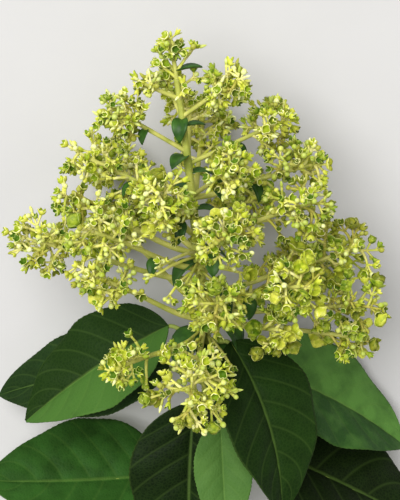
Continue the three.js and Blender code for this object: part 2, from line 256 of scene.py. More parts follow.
BRANCHES = (
    Branch("crown_left", 93, 280, 25, 14, 6),
    Branch("crown_right", 86, 74, 37, 22, 10.5),
    Branch("crown_back", 85, 209, 45, 17, 6),
    Branch("upper_left", 72, 289, 33, 31, 11),
    Branch("upper_right", 67, 109, 20, 36, 13),
    Branch("upper_back", 68, 178, 31, 29, 11),
    Branch("shoulder_right", 53, 88, 17, 44, 14, BloomMix.BUDS),
    Branch("shoulder_front", 54, 28, 30, 35, 12, BloomMix.BUDS),
    Branch("shoulder_left", 49, 261, 24, 44, 14.5, BloomMix.BUDS),
    Branch("shoulder_back", 49, 174, 36, 45, 14),
    Branch("middle_front", 37, 340, 35, 46, 13, BloomMix.BUDS),
    Branch("middle_right", 36, 68, 23, 48, 14, BloomMix.BUDS),
    Branch("middle_left", 29, 277, 27, 53, 12, BloomMix.BUDS),
    Branch("middle_floor", 30, 219, 24, 58, 13),
    Branch("waist_left", 23, 309, 27, 54, 14, BloomMix.BUDS, 0.55),
    Branch("waist_front", 26, 12, 29, 51, 13, BloomMix.BUDS),
    Branch("waist_right", 13, 98, 14, 59, 16.5, BloomMix.OPEN),
    Branch("waist_floor", 19, 158, 25, 55, 15, BloomMix.OPEN),
    Branch("skirt_mid", 1, 304, 30, 53, 13.5, BloomMix.BUDS, 0.8),
    Branch("skirt_left", 18, 268, 14, 65, 16.5, BloomMix.BUDS, 0.65),
    Branch("skirt_floor", 7, 218, 19, 63, 16, BloomMix.FRILLS, 0.9),
    Branch("skirt_front", 10, 46, 20, 52, 12.5, BloomMix.OPEN),
    Branch("skirt_right", 6, 78, 6, 60, 14.5, BloomMix.OPEN),
    Branch("foot_left", -4, 327, 5, 55, 8.5, BloomMix.RIMS, 0.6),
    Branch("foot_floor", 3, 138, 5, 62, 16, BloomMix.OPEN),
    Branch("foot_mid", 6, 7, 23, 49, 14, BloomMix.BUDS),
    Branch("foot_right", 4, 84, -7, 60, 9, BloomMix.OPEN, 0.8),
    Branch("foot_low", 0, 44, 12, 40, 10, BloomMix.OPEN),
    Branch("foot_front", 0, 356, -4, 58, 18.5, BloomMix.RIMS),
)


@dataclass(frozen=True)
class Stem:
    """The main stem: its line and radius by height."""

    tip: float = 101.0
    cut: float = -112.0
    lean: float = 12.8
    lean_at: float = 116.0
    lean_curve: float = 0.37
    tail_lean: float = 7.0
    tip_radius: float = 1.1
    foot_radius: float = 2.2
    cut_radius: float = 3.1
    axis_above_table: float = 58.0
    cut_above_table: float = 3.2
    tail_curve: float = 1.7
    steps: int = 16

    def point(self, height: float) -> Array:
        """Finds the point of the centre line at a height.

        Args:
            height: The height, above 0 in the head and below 0 under it.

        Returns:
            The point.
        """
        if height >= 0:
            u = height / self.lean_at
            lean = self.lean * ((1 - self.lean_curve) * u + self.lean_curve * u * u)
            return np.array([-lean, height, self.axis_above_table])
        v = height / self.cut
        drop = mix(self.axis_above_table, self.cut_above_table, v**self.tail_curve)
        return np.array([self.tail_lean * v, height, drop])

    def line(self, t: float) -> Array:
        """Returns the point at a share of the way from the cut end to the tip."""
        return self.point(mix(self.cut, self.tip, t))

    def radius(self, height: float) -> float:
        """Returns the stem's radius at a height."""
        end, radius = (self.tip, self.tip_radius) if height >= 0 else (self.cut, self.cut_radius)
        return mix(self.foot_radius, radius, min(height / end, 1.0))

    def seat(self, height: float, direction: Array, set_off: Array, radius: float) -> Array:
        """Finds where a limb starts, so that its flat end just clears the stem.

        Args:
            height: The height that it leaves the stem at.
            direction: The direction from the stem's axis in which it lies.
            set_off: The direction in which it sets off.
            radius: The radius of its end.

        Returns:
            The middle of its end.
        """
        grain = unit(self.point(height + 1) - self.point(height - 1))
        square = direction - grain * float(direction @ grain)
        share = float(np.linalg.norm(square))
        lean = float(np.linalg.norm(np.cross(set_off, square))) / share
        return self.point(height) + direction * (self.radius(height) + CLEAR + radius * lean) / share


@dataclass(frozen=True)
class LimbRule:
    """The radii of the boughs and twigs, how far a bough bows and how short one can be."""

    bough_foot: float = 1.35
    bough_tip: float = 0.95
    bow: float = 0.2
    shortest: float = 33.0
    steps: int = 3
    stalk: float = 0.8
    main: float = 0.6
    fork: float = 0.38


@dataclass(frozen=True)
class ClusterRule:
    """How the twigs of a cluster are laid out. Lengths are shares of the cluster's radius."""

    tuft_share: float = 0.29
    tuft_least: float = 2.6
    tuft_most: float = 4.4
    tuft_vary: float = 0.28
    tuft_point: float = 0.8
    twigs_per_radius: float = 0.42
    neck: float = 0.75
    end: float = 0.25
    table: float = 0.72
    first_cosine: float = 0.97
    last_cosine: float = -0.5
    first_twig: float = 0.15
    jitter: float = 24.0
    vary: float = 0.12
    fork_at: float = 0.4
    fork_aside: float = 11.0
    fork_share: float = 0.86
    fork_turns: int = 6
    tries: tuple[float, ...] = (1.0, 0.82, 0.64)
    # The cluster at the tip of the head, in millimetres from the end of the stem.
    tip_neck: float = 5.5
    tip_middle: float = 13.0
    tip_radius: float = 5.5
    # Where along a twig its distance to the limbs is measured.
    samples: tuple[float, ...] = (0.0, 0.25, 0.5, 0.75, 1.0)


@dataclass(frozen=True, kw_only=True)
class Cluster(Branch):
    """A branch's cluster in its place. Its stalk runs on in the branch's direction."""

    index: int
    direction: Array
    start: Array
    neck: Array
    middle: Array
    has_bough: bool


@dataclass
class Tuft:
    """A twig and the ball of flowers at its end."""

    foot: Array
    end: Array
    radius: float
    neck: float


@dataclass(frozen=True)
class LeafPlan:
    """A large leaf, as the source states it, with the tint and the relief that the photograph shows."""

    name: str
    at: Pair
    stalk: Pair
    blade: Pair
    hang: float
    droop: float
    roll: float
    shade: str
    second: str
    wave: float = 1.0
    # How much more of the second colour the blade's right half has: painted light on one half and painted
    # shade on the other.
    half: float = 0.0


# The front, right, low right and far left leaves have near-black greens: painted shade, where the flower
# head shades them.
LEAVES = (
    LeafPlan("leaf_left", (-7, 266), (14, 21), (75, 47), 51, 15, 46, "#152B07", "#3E6226", 1.2, 0.9),
    LeafPlan("leaf_right", (-7, 48), (12, 11), (74, 51), 58, 46, 9, "#0F2205", "#1A320B", 0.9, 0.2),
    LeafPlan("leaf_far_right", (-24, 114), (18, 1), (93, 56), 26, 20, 44, "#26461C", "#527C36", 1.1, 0.45),
    LeafPlan("leaf_far_left", (-29, 248), (16, 15), (86, 44), 25, 17, 56, "#14260C", "#1E3616", 1.0),
    LeafPlan("leaf_front", (-31, 334), (11, -5), (76, 54), 73, 22, 20, "#081503", "#102206", 1.0),
    LeafPlan("leaf_low_right", (-57, 92), (13, -12), (92, 74), 13, 8, 24, "#091403", "#101F06", 1.2),
    LeafPlan("leaf_low_left", (-84, 284), (18, 8), (82, 64), 7, -8, 34, "#1E3C12", "#305A20", 1.0, 0.2),
    LeafPlan("leaf_young", (-36, 9), (25, 5), (50, 26), 74, 4, 4, "#3E6028", "#4C6E32", 0.5),
)


@dataclass(frozen=True)
class BladeRule:
    """The outline and the fold of a large leaf's blade, and the thickness of its stalk."""

    steps: int = 8
    fold: float = 16.0
    curl: float = 3.0
    tip_share: float = 0.03
    egg_shift: float = 0.82
    egg_full: float = 0.75
    egg_narrow: float = 0.22
    stalk_foot: float = 1.4
    stalk_tip: float = 0.8
    # The balls that stand for a blade where twigs keep clear of it, in shares of its half width.
    ball_places: tuple[float, ...] = (-0.8, -0.4, 0.0, 0.4, 0.8)
    ball_share: float = 0.25
    ball_least: float = 2.0

    def outline(self, t: float) -> float:
        """Returns half the width of a blade, as a share of its greatest, from base to tip."""
        full = max(math.sin(math.pi * t**self.egg_shift), 0.0) ** self.egg_full
        return max(self.tip_share, full * (1 - self.egg_narrow * t))

    def fold_at(self, across: float, width: float) -> float:
        """Returns how far a blade stands out from its midrib's plane at a distance across it."""
        return abs(across) * math.tan(math.radians(self.fold)) - across**2 / (self.curl * width)


@dataclass
class LeafFrame:
    """A point of a leaf's midrib, and the directions out of the blade and across it."""

    point: Array
    normal: Array
    across: Array


@dataclass
class PlacedLeaf:
    """A large leaf in its place: its stalk's ends and the frames along its midrib."""

    plan: LeafPlan
    start: Array
    base: Array
    frames: list[LeafFrame]


@dataclass
class Growth:
    """The rule that the solids grow by, written again: where each limb, twig and leaf is."""

    stem: Stem = Stem()
    limb: LimbRule = LimbRule()
    rule: ClusterRule = ClusterRule()
    blade: BladeRule = BladeRule()

    def __post_init__(self) -> None:
        """Lays out the branches, the leaves and what the twigs keep clear of."""
        self.clusters = [self.lay_branch(branch, i) for i, branch in enumerate(BRANCHES)]
        self.clusters.append(self.lay_tip(len(BRANCHES)))
        self.leaves = [self.lay_leaf(plan) for plan in LEAVES]
        self.middles = np.array([c.middle for c in self.clusters])
        self.radii = np.array([c.radius for c in self.clusters])
        self.limb_names, self.limb_a, ends, self.limb_r = map(np.array, zip(*self.lay_limbs()))
        self.limb_ab = ends - self.limb_a
        self.limb_length2 = np.sum(self.limb_ab**2, axis=1)
        self.ball_centres, self.ball_radii = self.lay_balls()

    def lay_branch(self, branch: Branch, index: int) -> Cluster:
        """Places a branch and its cluster. The table presses one on the underside flat.

        Args:
            branch: The branch, as the source states it.
            index: Its place in the order of the clusters.

        Returns:
            The placed cluster.
        """
        axis = self.stem.point(branch.height)
        middle = axis + outward(branch.bearing, branch.rise) * branch.reach
        middle[2] = max(middle[2], self.rule.table * branch.radius)
        direction = unit(middle - axis)
        neck = middle - direction * self.rule.neck * branch.radius
        has_bough = bool(np.linalg.norm(neck - axis) > self.limb.shortest)
        set_off = unit(direction - Y_AXIS * (self.limb.bow if has_bough else 0.0))
        radius = self.limb.bough_foot if has_bough else self.limb.bough_tip
        start = self.stem.seat(branch.height, direction, set_off, radius)
        places = {"direction": direction, "start": start, "neck": neck, "middle": middle}
        return Cluster(**vars(branch), **places, index=index, has_bough=has_bough)

    def lay_tip(self, index: int) -> Cluster:
        """Places the cluster at the tip of the head, whose stalk carries straight on from the stem.

        Args:
            index: Its place in the order of the clusters.

        Returns:
            The placed cluster.
        """
        rule, height = self.rule, self.stem.tip
        branch = Branch("tip", height, 0.0, 90.0, rule.tip_middle, rule.tip_radius, bare=1.0)
        foot = self.stem.point(height)
        direction = unit(foot - self.stem.point(height - 1))
        distances = {"start": CLEAR, "neck": rule.tip_neck, "middle": rule.tip_middle}
        places = {name: foot + direction * distance for name, distance in distances.items()}
        return Cluster(**vars(branch), **places, direction=direction, index=index, has_bough=False)

    def bough_curve(self, cluster: Cluster) -> Curve:
        """Makes a bough's centre line, which sets off a little lower than straight to its end.

        Args:
            cluster: The cluster that it carries. A short branch has a straight line.

        Returns:
            The curve, from 0 at the stem to 1 at the cluster's neck.
        """
        if not cluster.has_bough:
            return straight(cluster.start, cluster.neck)
        end = cluster.neck - cluster.direction * CLEAR
        bow = self.limb.bow * float(np.linalg.norm(end - cluster.start))

        def at(t: float) -> Array:
            """Returns the point at a share of the way."""
            return mix(cluster.start, end, t) - Y_AXIS * bow * t * (1 - t) ** 2

        return at

    def lay_leaf(self, plan: LeafPlan) -> PlacedLeaf:
        """Places a leaf's stalk and the frames along its midrib, by the source's steps.

        Args:
            plan: The leaf, as the source states it.

        Returns:
            The placed leaf.
        """
        height, bearing = plan.at
        stalk_length, lift = plan.stalk
        length, _ = plan.blade
        out = outward(bearing, lift)
        start = self.stem.seat(height, out, out, self.blade.stalk_foot)
        base = self.stem.point(height) + out * (self.stem.radius(height) + stalk_length)
        hinge = unit(np.cross(out, Y_AXIS))
        roll = math.radians(plan.roll) * math.copysign(1.0, out[0])
        frames = []
        point = base
        for i in range(self.blade.steps + 1):
            bend = math.radians(plan.hang + plan.droop * i / self.blade.steps)
            along = rotated(out, hinge, -bend)
            normal = rotated(np.cross(hinge, along), along, roll)
            frames.append(LeafFrame(point, normal, np.cross(normal, along)))
            point = point + along * length / self.blade.steps
        return PlacedLeaf(plan, start, base, frames)

    def lay_limbs(self) -> list[tuple[str, Array, Array, float]]:
        """Lays out the limbs that twigs and tufts keep clear of, as straight stretches.

        Returns:
            The name of what each stretch carries, its ends and its radius.
        """
        limbs = [("stem", self.stem.line, self.stem.foot_radius, self.stem.steps)]
        for c in self.clusters:
            radius = self.limb.bough_foot if c.has_bough else self.limb.bough_tip
            limbs.append((c.name, self.bough_curve(c), radius, self.limb.steps if c.has_bough else 1))
        for leaf in self.leaves:
            limbs.append((leaf.plan.name, straight(leaf.start, leaf.base), self.blade.stalk_foot, 1))
        return [
            (name, curve(i / steps), curve((i + 1) / steps), radius)
            for name, curve, radius, steps in limbs
            for i in range(steps)
        ]

    def lay_balls(self) -> tuple[Array, Array]:
        """Lays out the balls that cover each blade.

        Returns:
            Their middles and their radii.
        """
        centres, radii = [], []
        for leaf in self.leaves:
            width = leaf.plan.blade[1]
            for i, frame in enumerate(leaf.frames):
                half = width * self.blade.outline(i / self.blade.steps) / 2
                for share in self.blade.ball_places:
                    rise = self.blade.fold_at(share * half, width)
                    centres.append(frame.point + frame.across * share * half + frame.normal * rise)
                    radii.append(max(self.blade.ball_least, half * self.blade.ball_share))
        return np.array(centres), np.array(radii)

    def limb_gaps(self, foot: Array, end: Array) -> Array:
        """Measures how far a straight stretch is from each limb's surface.

        Args:
            foot: Where the stretch starts.
            end: Where it ends.

        Returns:
            The least distance of its samples to each limb.
        """
        samples = foot + (end - foot) * np.array(self.rule.samples)[:, None]
        offset = samples[:, None, :] - self.limb_a[None]
        share = np.clip(np.sum(offset * self.limb_ab, axis=2) / self.limb_length2, 0, 1)
        distance = np.linalg.norm(offset - share[..., None] * self.limb_ab, axis=2)
        return distance.min(axis=0) - self.limb_r

    def has_room(self, cluster: Cluster, tuft: Tuft) -> bool:
        """Tells whether a twig and the ball at its end have room.

        The ball has to lie on its own cluster's side of the plane towards each other one, and neither
        may touch a limb or a leaf.

        Args:
            cluster: The cluster that they grow in.
            tuft: The twig and its ball.

        Returns:
            Whether they have room.
        """
        end, radius = tuft.end, tuft.radius
        own = float(np.sum((end - cluster.middle) ** 2)) - cluster.radius**2
        theirs = np.sum((end - self.middles) ** 2, axis=1) - self.radii**2
        apart = np.linalg.norm(self.middles - cluster.middle, axis=1)
        apart[cluster.index] = 1.0
        room = (theirs - own) / (2 * apart)
        room[cluster.index] = np.inf
        if np.any(room <= radius + CLEAR / 2) or np.any(self.limb_gaps(end, end) <= radius + CLEAR):
            return False
        others = self.limb_names != cluster.name
        if np.any((self.limb_gaps(tuft.foot, end) <= self.limb.stalk + CLEAR) & others):
            return False
        gaps = np.linalg.norm(self.ball_centres - end, axis=1)
        return bool(np.all(gaps > self.ball_radii + radius + CLEAR))

    def try_tuft(
        self, cluster: Cluster, foot: Array, aim: Array, reach: float, radius: float, neck: float
    ) -> Tuft | None:
        """Fits a twig towards a direction from its cluster's middle.

        Args:
            cluster: The cluster that it grows in.
            foot: Where it grows from.
            aim: The direction of its end from the cluster's middle.
            reach: The distance of its end from there.
            radius: The radius of the ball at its end.
            neck: The twig's radius.

        Returns:
            The tuft, nearer in where there is no room at its full reach, or None.
        """
        for part in self.rule.tries:
            end = cluster.middle + aim * reach * part
            end[2] = max(end[2], radius)
            tuft = Tuft(foot, end, radius, neck)
            if self.has_room(cluster, tuft):
                return tuft
        return None

    def stalk_end(self, cluster: Cluster) -> Array:
        """Returns where a cluster's stalk ends."""
        return cluster.middle + cluster.direction * self.rule.end * cluster.radius

    def tufts(self, cluster: Cluster) -> list[Tuft]:
        """Lays out the twigs of a cluster.

        They leave its stalk in directions on a spiral, and each forks on its way to where there is
        most room.

        Args:
            cluster: The cluster.

        Returns:
            Its tufts, as in the solids.
        """
        rule = self.rule
        draw = SeededDraw(SEED + SEED_STEP * cluster.index)
        size = min(max(rule.tuft_share * cluster.radius, rule.tuft_least), rule.tuft_most)
        stalk_end = self.stalk_end(cluster)
        tufts: list[Tuft] = []

        def room_at(tuft: Tuft) -> float:
            """Returns how far a tuft is from the others."""
            gaps = [float(np.linalg.norm(other.end - tuft.end)) for other in tufts]
            return min([cluster.radius, *gaps])

        count = round_half_up(rule.twigs_per_radius * cluster.radius)
        first_turn = draw() * 360
        for i in range(count + 1):
            tilt = math.acos(mix(rule.first_cosine, rule.last_cosine, i / count))
            turn = math.radians(first_turn + GOLDEN_ANGLE * i + (draw() - 0.5) * rule.jitter)
            aim = turned(cluster.direction, tilt, turn)
            foot = mix(cluster.neck, stalk_end, mix(1.0, rule.first_twig, i / count))
            radius = size * (1 + rule.tuft_vary * (draw() - 0.5))
            reach = cluster.radius * (1 + rule.vary * (draw() - 0.5)) - rule.tuft_point * radius
            fork_turn = draw() * 360
            main = self.try_tuft(cluster, foot, aim, reach, radius, self.limb.main)
            if main is None:
                continue
            tufts.append(main)
            fork_foot = mix(foot, main.end, rule.fork_at)
            fork_radius = rule.fork_share * radius
            forks = []
            for k in range(rule.fork_turns):
                angle = math.radians(fork_turn + 360 * k / rule.fork_turns)
                side = turned(aim, rule.fork_aside / cluster.radius, angle)
                forks.append(self.try_tuft(cluster, fork_foot, side, reach, fork_radius, self.limb.fork))
            roomiest = max(filter(None, forks), key=room_at, default=None)
            if roomiest is not None and room_at(roomiest) > size:
                tufts.append(roomiest)
        return tufts


def linear(colour: str) -> tuple[float, float, float, float]:
    """Turns an sRGB hex colour into the linear one that a shader takes.

    Args:
        colour: The colour, such as "#5C7B30".

    Returns:
        Red, green, blue and alpha.
    """
    parts = [int(colour[i : i + 2], 16) / 255 for i in (1, 3, 5)]
    red, green, blue = (c / 12.92 if c <= 0.04045 else ((c + 0.055) / 1.055) ** 2.4 for c in parts)
    return red, green, blue, 1.0


def add_node(tree: NodeTree, kind: str, inputs: dict[str | int, object], **settings: object) -> Node:
    """Adds a shader node with its settings and links.

    Args:
        tree: The material's node tree.
        kind: The node's type.
        inputs: Values or other nodes' outputs for its sockets, by name or number.
        **settings: The node's own properties.

    Returns:
        The node.
    """
    node = tree.nodes.new(kind)
    for name, value in settings.items():
        setattr(node, name, value)
    for socket, value in inputs.items():
        if isinstance(value, NodeSocket):
            tree.links.new(value, node.inputs[socket])
        else:
            node.inputs[socket].default_value = value
    return node


@dataclass(frozen=True)
class Finish:
    """A surface of the plant: a waxy skin with soft patches of a second colour and a fine grain."""

    name: str
    colour: str
    second: str
    roughness: float = 0.5
    # Plant wax: light enters it a little less than glass.
    ior: float = 1.42
    # Fine down on the skin breaks its gloss, so it gives back less than smooth wax.
    gloss: float = 0.22
    # How much light the thin green flesh lets through and spreads under its skin, and how far.
    flesh: float = 0.0
    flesh_depth: float = 0.8
    # Green light goes furthest in it, then red, then blue.
    flesh_spread: Triple = (0.8, 1.0, 0.3)
    patch_size: float = 2.5
    patch_limits: Pair = (0.38, 0.66)
    grain_size: float = 0.25
    # How strongly the fine relief shades the skin, and how high it is.
    relief: Pair = (0.5, 0.05)

    def material(self) -> Material:
        """Makes the material: its even values, its colours and its fine relief.

        Returns:
            The finished material.
        """
        material = bpy.data.materials.new(self.name)
        material.use_nodes = True
        tree = material.node_tree
        shader = tree.nodes["Principled BSDF"]
        values = {
            "Roughness": self.roughness,
            "IOR": self.ior,
            "Specular IOR Level": self.gloss,
            "Subsurface Weight": self.flesh,
            "Subsurface Radius": self.flesh_spread,
            "Subsurface Scale": self.flesh_depth * METRES,
        }
        for socket, value in values.items():
            shader.inputs[socket].default_value = value
        place = add_node(tree, "ShaderNodeTexCoord", {}).outputs["Object"]
        colour, height = self.skin(tree, place)
        strength, depth = self.relief
        relief = {"Height": height, "Strength": strength, "Distance": depth * METRES}
        bump = add_node(tree, "ShaderNodeBump", relief)
        tree.links.new(colour, shader.inputs["Base Color"])
        tree.links.new(bump.outputs[0], shader.inputs["Normal"])
        return material

    def skin(self, tree: NodeTree, place: NodeSocket) -> Sockets:
        """Lays out the patches and the grain.

        Args:
            tree: The material's node tree.
            place: The place on the plant.

        Returns:
            The sockets of the colour and of the height.
        """
        size = {"Vector": place, "Scale": 1 / (self.grain_size * METRES), "Detail": 2.0}
        grain = add_node(tree, "ShaderNodeTexNoise", size)
        return self.patched(tree, place), grain.outputs[0]

    def patched(self, tree: NodeTree, place: NodeSocket, bias: NodeSocket | float = 0.0) -> NodeSocket:
        """Adds soft patches of the second colour.

        Args:
            tree: The material's node tree.
            place: The place on the plant.
            bias: How much more of the second colour there is at that place.

        Returns:
            The colour's socket.
        """
        size = {"Vector": place, "Scale": 1 / (self.patch_size * METRES), "Detail": 3.0}
        patches = add_node(tree, "ShaderNodeTexNoise", size)
        biased = add_node(tree, "ShaderNodeMath", {0: patches.outputs[0], 1: bias}, operation="ADD")
        first, last = self.patch_limits
        limits = {"Value": biased.outputs[0], "From Min": first, "From Max": last}
        mask = add_node(tree, "ShaderNodeMapRange", limits)
        colours = {"Factor": mask.outputs[0], 6: linear(self.colour), 7: linear(self.second)}
        return add_node(tree, "ShaderNodeMix", colours, data_type="RGBA").outputs[2]


@dataclass(frozen=True)
class GreenBark(Finish):
    """The skin of a young green stem: ribbed along it, in patches of green, with small pale pores."""

    roughness: float = 0.55
    patch_size: float = 6.0
    relief: Pair = (0.6, 0.12)
    pore_colour: str = "#DAD7A0"
    pore_spacing: float = 1.05
    pore_limits: Pair = (0.1, 0.2)
    pore_strength: float = 0.5
    rib_size: float = 0.45
    rib_stretch: float = 14.0

    def skin(self, tree: NodeTree, place: NodeSocket) -> Sockets:
        """Lays out the patches, the pores and the ribs.

        Args:
            tree: The material's node tree.
            place: The place on the plant.

        Returns:
            The sockets of the colour and of the height.
        """
        spacing = {"Vector": place, "Scale": 1 / (self.pore_spacing * METRES)}
        pores = add_node(tree, "ShaderNodeTexVoronoi", spacing)
        first, last = self.pore_limits
        limits = {"Value": pores.outputs["Distance"], "From Min": first, "From Max": last}
        limits |= {"To Min": self.pore_strength, "To Max": 0.0}
        mask = add_node(tree, "ShaderNodeMapRange", limits)
        patched = self.patched(tree, place)
        colours = {"Factor": mask.outputs[0], 6: patched, 7: linear(self.pore_colour)}
        pored = add_node(tree, "ShaderNodeMix", colours, data_type="RGBA")
        # The ribs run along the stem, so the noise is squeezed across it and long along it.
        sizes = self.rib_size, self.rib_size * self.rib_stretch, self.rib_size
        squeeze = {"Vector": place, "Scale": [1 / (size * METRES) for size in sizes]}
        squeezed = add_node(tree, "ShaderNodeMapping", squeeze)
        fine = {"Vector": squeezed.outputs[0], "Scale": 1.0, "Detail": 4.0}
        ribs = add_node(tree, "ShaderNodeTexNoise", fine)
        return pored.outputs[2], ribs.outputs[0]


@dataclass(frozen=True)
class VeinRule:
    """The net of veins in a blade, in shares of its half width and its length.

    A side vein leaves the midrib and arcs towards the tip as it runs out to the margin.
    """

    pairs: float = 7.0
    arc: float = 0.17
    arc_more: float = 0.06
    offset: float = 0.5
    vein_width: float = 0.1
    midrib_width: float = 0.045

    def phase(self, across: float, along: float) -> float:
        """Finds how far a place is from the side vein behind it.

        Args:
            across: The place across the blade, from -1 to 1.
            along: The place along it, from 0 to 1.

        Returns:
            The distance, as a share of the veins' spacing.
        """
        s = abs(across)
        step = self.pairs * (along - self.arc * s - self.arc_more * s * s)
        return (step + (self.offset if across > 0 else 0.0)) % 1.0


@dataclass(frozen=True)
class LeafSkin(Finish):
    """The upper skin of a leaf: dark green with a soft gloss, a little lighter along its veins."""

    roughness: float = 0.55
    patch_size: float = 9.0
    gloss: float = 0.09
    patch_limits: Pair = (0.22, 0.82)
    # How much more of the second colour its right half has: painted light on one half of the blade and
    # painted shade on the other.
    half: float = 0.0
    vein_colour: str = "#64823A"
    vein_strength: float = 0.1
    midrib_strength: float = 0.36
    margin_width: float = 0.04
    margin_strength: float = 0.15
    # The finest net of veins makes small cushions, drawn at the least size that shows.
    cell_size: float = 1.4
    relief: Pair = (0.8, 0.22)
    net_width: float = 0.2
    net_strength: float = 0.035

    def skin(self, tree: NodeTree, place: NodeSocket) -> Sockets:
        """Lays out the patches, the veins and the cushions.

        Args:
            tree: The material's node tree.
            place: The place on the plant.

        Returns:
            The sockets of the colour and of the height.
        """
        veins = VeinRule()
        uv = add_node(tree, "ShaderNodeUVMap", {}, uv_map="blade").outputs[0]
        split = add_node(tree, "ShaderNodeSeparateXYZ", {0: uv})
        made = {"u": split.outputs[0], "v": split.outputs[1]}
        # The sums in order, each with the name of what it gives. They say what VeinRule.phase says.
        sums = (
            ("across", "MULTIPLY_ADD", "u", 2.0, -1.0),
            ("from_midrib", "ABSOLUTE", "across"),
            ("from_margin", "SUBTRACT", 1.0, "from_midrib"),
            ("bow", "MULTIPLY_ADD", "from_midrib", veins.arc_more, veins.arc),
            ("arc", "MULTIPLY", "from_midrib", "bow"),
            ("behind", "SUBTRACT", "v", "arc"),
            ("right", "GREATER_THAN", "across", 0.0),
            ("offset", "MULTIPLY", "right", veins.offset),
            ("step", "MULTIPLY_ADD", "behind", veins.pairs, "offset"),
            ("from_vein", "PINGPONG", "step", 0.5),
            # The last two paint the light and the shade that fall on the two halves of the blade.
            ("half", "SUBTRACT", "right", 0.5),
            ("bias", "MULTIPLY", "half", self.half),
        )
        for name, operation, *terms in sums:
            inputs = {i: made.get(term, term) for i, term in enumerate(terms)}
            made[name] = add_node(tree, "ShaderNodeMath", inputs, operation=operation).outputs[0]
        size = {"Vector": place, "Scale": 1 / (self.cell_size * METRES)}
        cells = add_node(tree, "ShaderNodeTexVoronoi", size, feature="DISTANCE_TO_EDGE")
        # Each line is palest at its middle and gone at its width.
        lines = (
            (made["from_vein"], veins.vein_width, self.vein_strength),
            (made["from_midrib"], veins.midrib_width, self.midrib_strength),
            (made["from_margin"], self.margin_width, self.margin_strength),
            (cells.outputs[0], self.net_width, self.net_strength),
        )
        mask: NodeSocket | float = 0.0
        for distance, width, strength in lines:
            limits = {"Value": distance, "From Max": width, "To Min": strength, "To Max": 0.0}
            line = add_node(tree, "ShaderNodeMapRange", limits, interpolation_type="SMOOTHSTEP")
            terms = {0: line.outputs[0], 1: mask}
            mask = add_node(tree, "ShaderNodeMath", terms, operation="MAXIMUM").outputs[0]
        patched = self.patched(tree, place, made["bias"])
        colours = {"Factor": mask, 6: patched, 7: linear(self.vein_colour)}
        veined = add_node(tree, "ShaderNodeMix", colours, data_type="RGBA")
        return veined.outputs[2], cells.outputs[0]


def finish_object(name: str, mesh: Mesh, materials: list[Material]) -> Object:
    """Links a finished mesh as a piece that rides on the plant.

    Args:
        name: The piece's name.
        mesh: Its mesh, in metres, in the frame of the solids.
        materials: Its materials, in slot order.

    Returns:
        The piece.
    """
    for material in materials:
        mesh.materials.append(material)
    mesh.shade_smooth()
    piece = bpy.data.objects.new(name, mesh)
    bpy.context.scene.collection.objects.link(piece)
    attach(piece, "root")
    LOG.info("%s: %d faces", name, len(mesh.polygons))
    return piece


def mesh_from(bm: BMesh, name: str) -> Mesh:
    """Turns a bmesh of the source's millimetres into a mesh in the frame of the solids.

    Args:
        bm: The bmesh, which is freed.
        name: The mesh's name.

    Returns:
        The mesh.
    """
    for vertex in bm.verts:
        vertex.co = Vector(to_frame(np.array(vertex.co)))
    mesh = bpy.data.meshes.new(name)
    bm.to_mesh(mesh)
    bm.free()
    return mesh


@dataclass
class Template:
    """A small closed shape that is repeated: its points, the corners of its faces and their slots."""

    points: Array
    corners: Array
    starts: Array
    slots: Array

    @classmethod
    def of(cls, bm: BMesh) -> "Template":
        """Takes the arrays of a bmesh and frees it.

        Args:
            bm: The bmesh.

        Returns:
            The template.
        """
        bmesh.ops.recalc_face_normals(bm, faces=bm.faces)
        bm.verts.index_update()
        points = np.array([v.co[:] for v in bm.verts])
        faces = [[v.index for v in f.verts] for f in bm.faces]
        slots = np.array([f.material_index for f in bm.faces])
        bm.free()
        counts = np.array([len(f) for f in faces])
        starts = np.concatenate([[0], np.cumsum(counts)[:-1]])
        return cls(points, np.array([i for f in faces for i in f]), starts, slots)


@dataclass
class JoinedMesh:
    """Many copies of small shapes, joined in one mesh."""

    parts: list[tuple[Array, ...]] = field(default_factory=list)
    point_count: int = 0
    corner_count: int = 0

    def add(self, template: Template, placed: Array) -> None:
        """Adds copies of a template.

        Args:
            template: The shape.
            placed: Each copy's points, as an array of copies by points by 3.
        """
        copies, size, _ = placed.shape
        index = np.arange(copies)[:, None]
        corners = template.corners + self.point_count + index * size
        starts = template.starts + self.corner_count + index * len(template.corners)
        slots = np.tile(template.slots, copies)
        self.parts.append((placed.reshape(-1, 3), corners.ravel(), starts.ravel(), slots))
        self.point_count += copies * size
        self.corner_count += copies * len(template.corners)

    def mesh(self, name: str) -> Mesh:
        """Makes one mesh of all the copies.

        Args:
            name: The mesh's name.

        Returns:
            The mesh, in the frame of the solids.
        """
        points, corners, starts, slots = map(np.concatenate, zip(*self.parts))
        mesh = bpy.data.meshes.new(name)
        mesh.vertices.add(len(points))
        mesh.vertices.foreach_set("co", to_frame(points).astype(np.float32).ravel())
        mesh.loops.add(len(corners))
        mesh.loops.foreach_set("vertex_index", corners.astype(np.int32))
        mesh.polygons.add(len(starts))
        mesh.polygons.foreach_set("loop_start", starts.astype(np.int32))
        mesh.polygons.foreach_set("material_index", slots.astype(np.int32))
        mesh.update(calc_edges=True)
        return mesh


def closed_tube(sides: int, steps: int) -> BMesh:
    """Makes a closed upright tube of radius 1 from z = 0 to z = 1.

    Args:
        sides: How many sides it has round it.
        steps: How many lengths it has, two at least, with a ring of points between them.

    Returns:
        The tube.
    """
    bm = bmesh.new()
    bmesh.ops.create_cone(bm, cap_ends=True, segments=sides, radius1=1, radius2=1, depth=1)
    upright = [e for e in bm.edges if abs(e.verts[0].co.z - e.verts[1].co.z) > 0.5]
    bmesh.ops.subdivide_edges(bm, edges=upright, cuts=steps - 1)
    bmesh.ops.translate(bm, verts=bm.verts, vec=(0, 0, 0.5))
    return bm


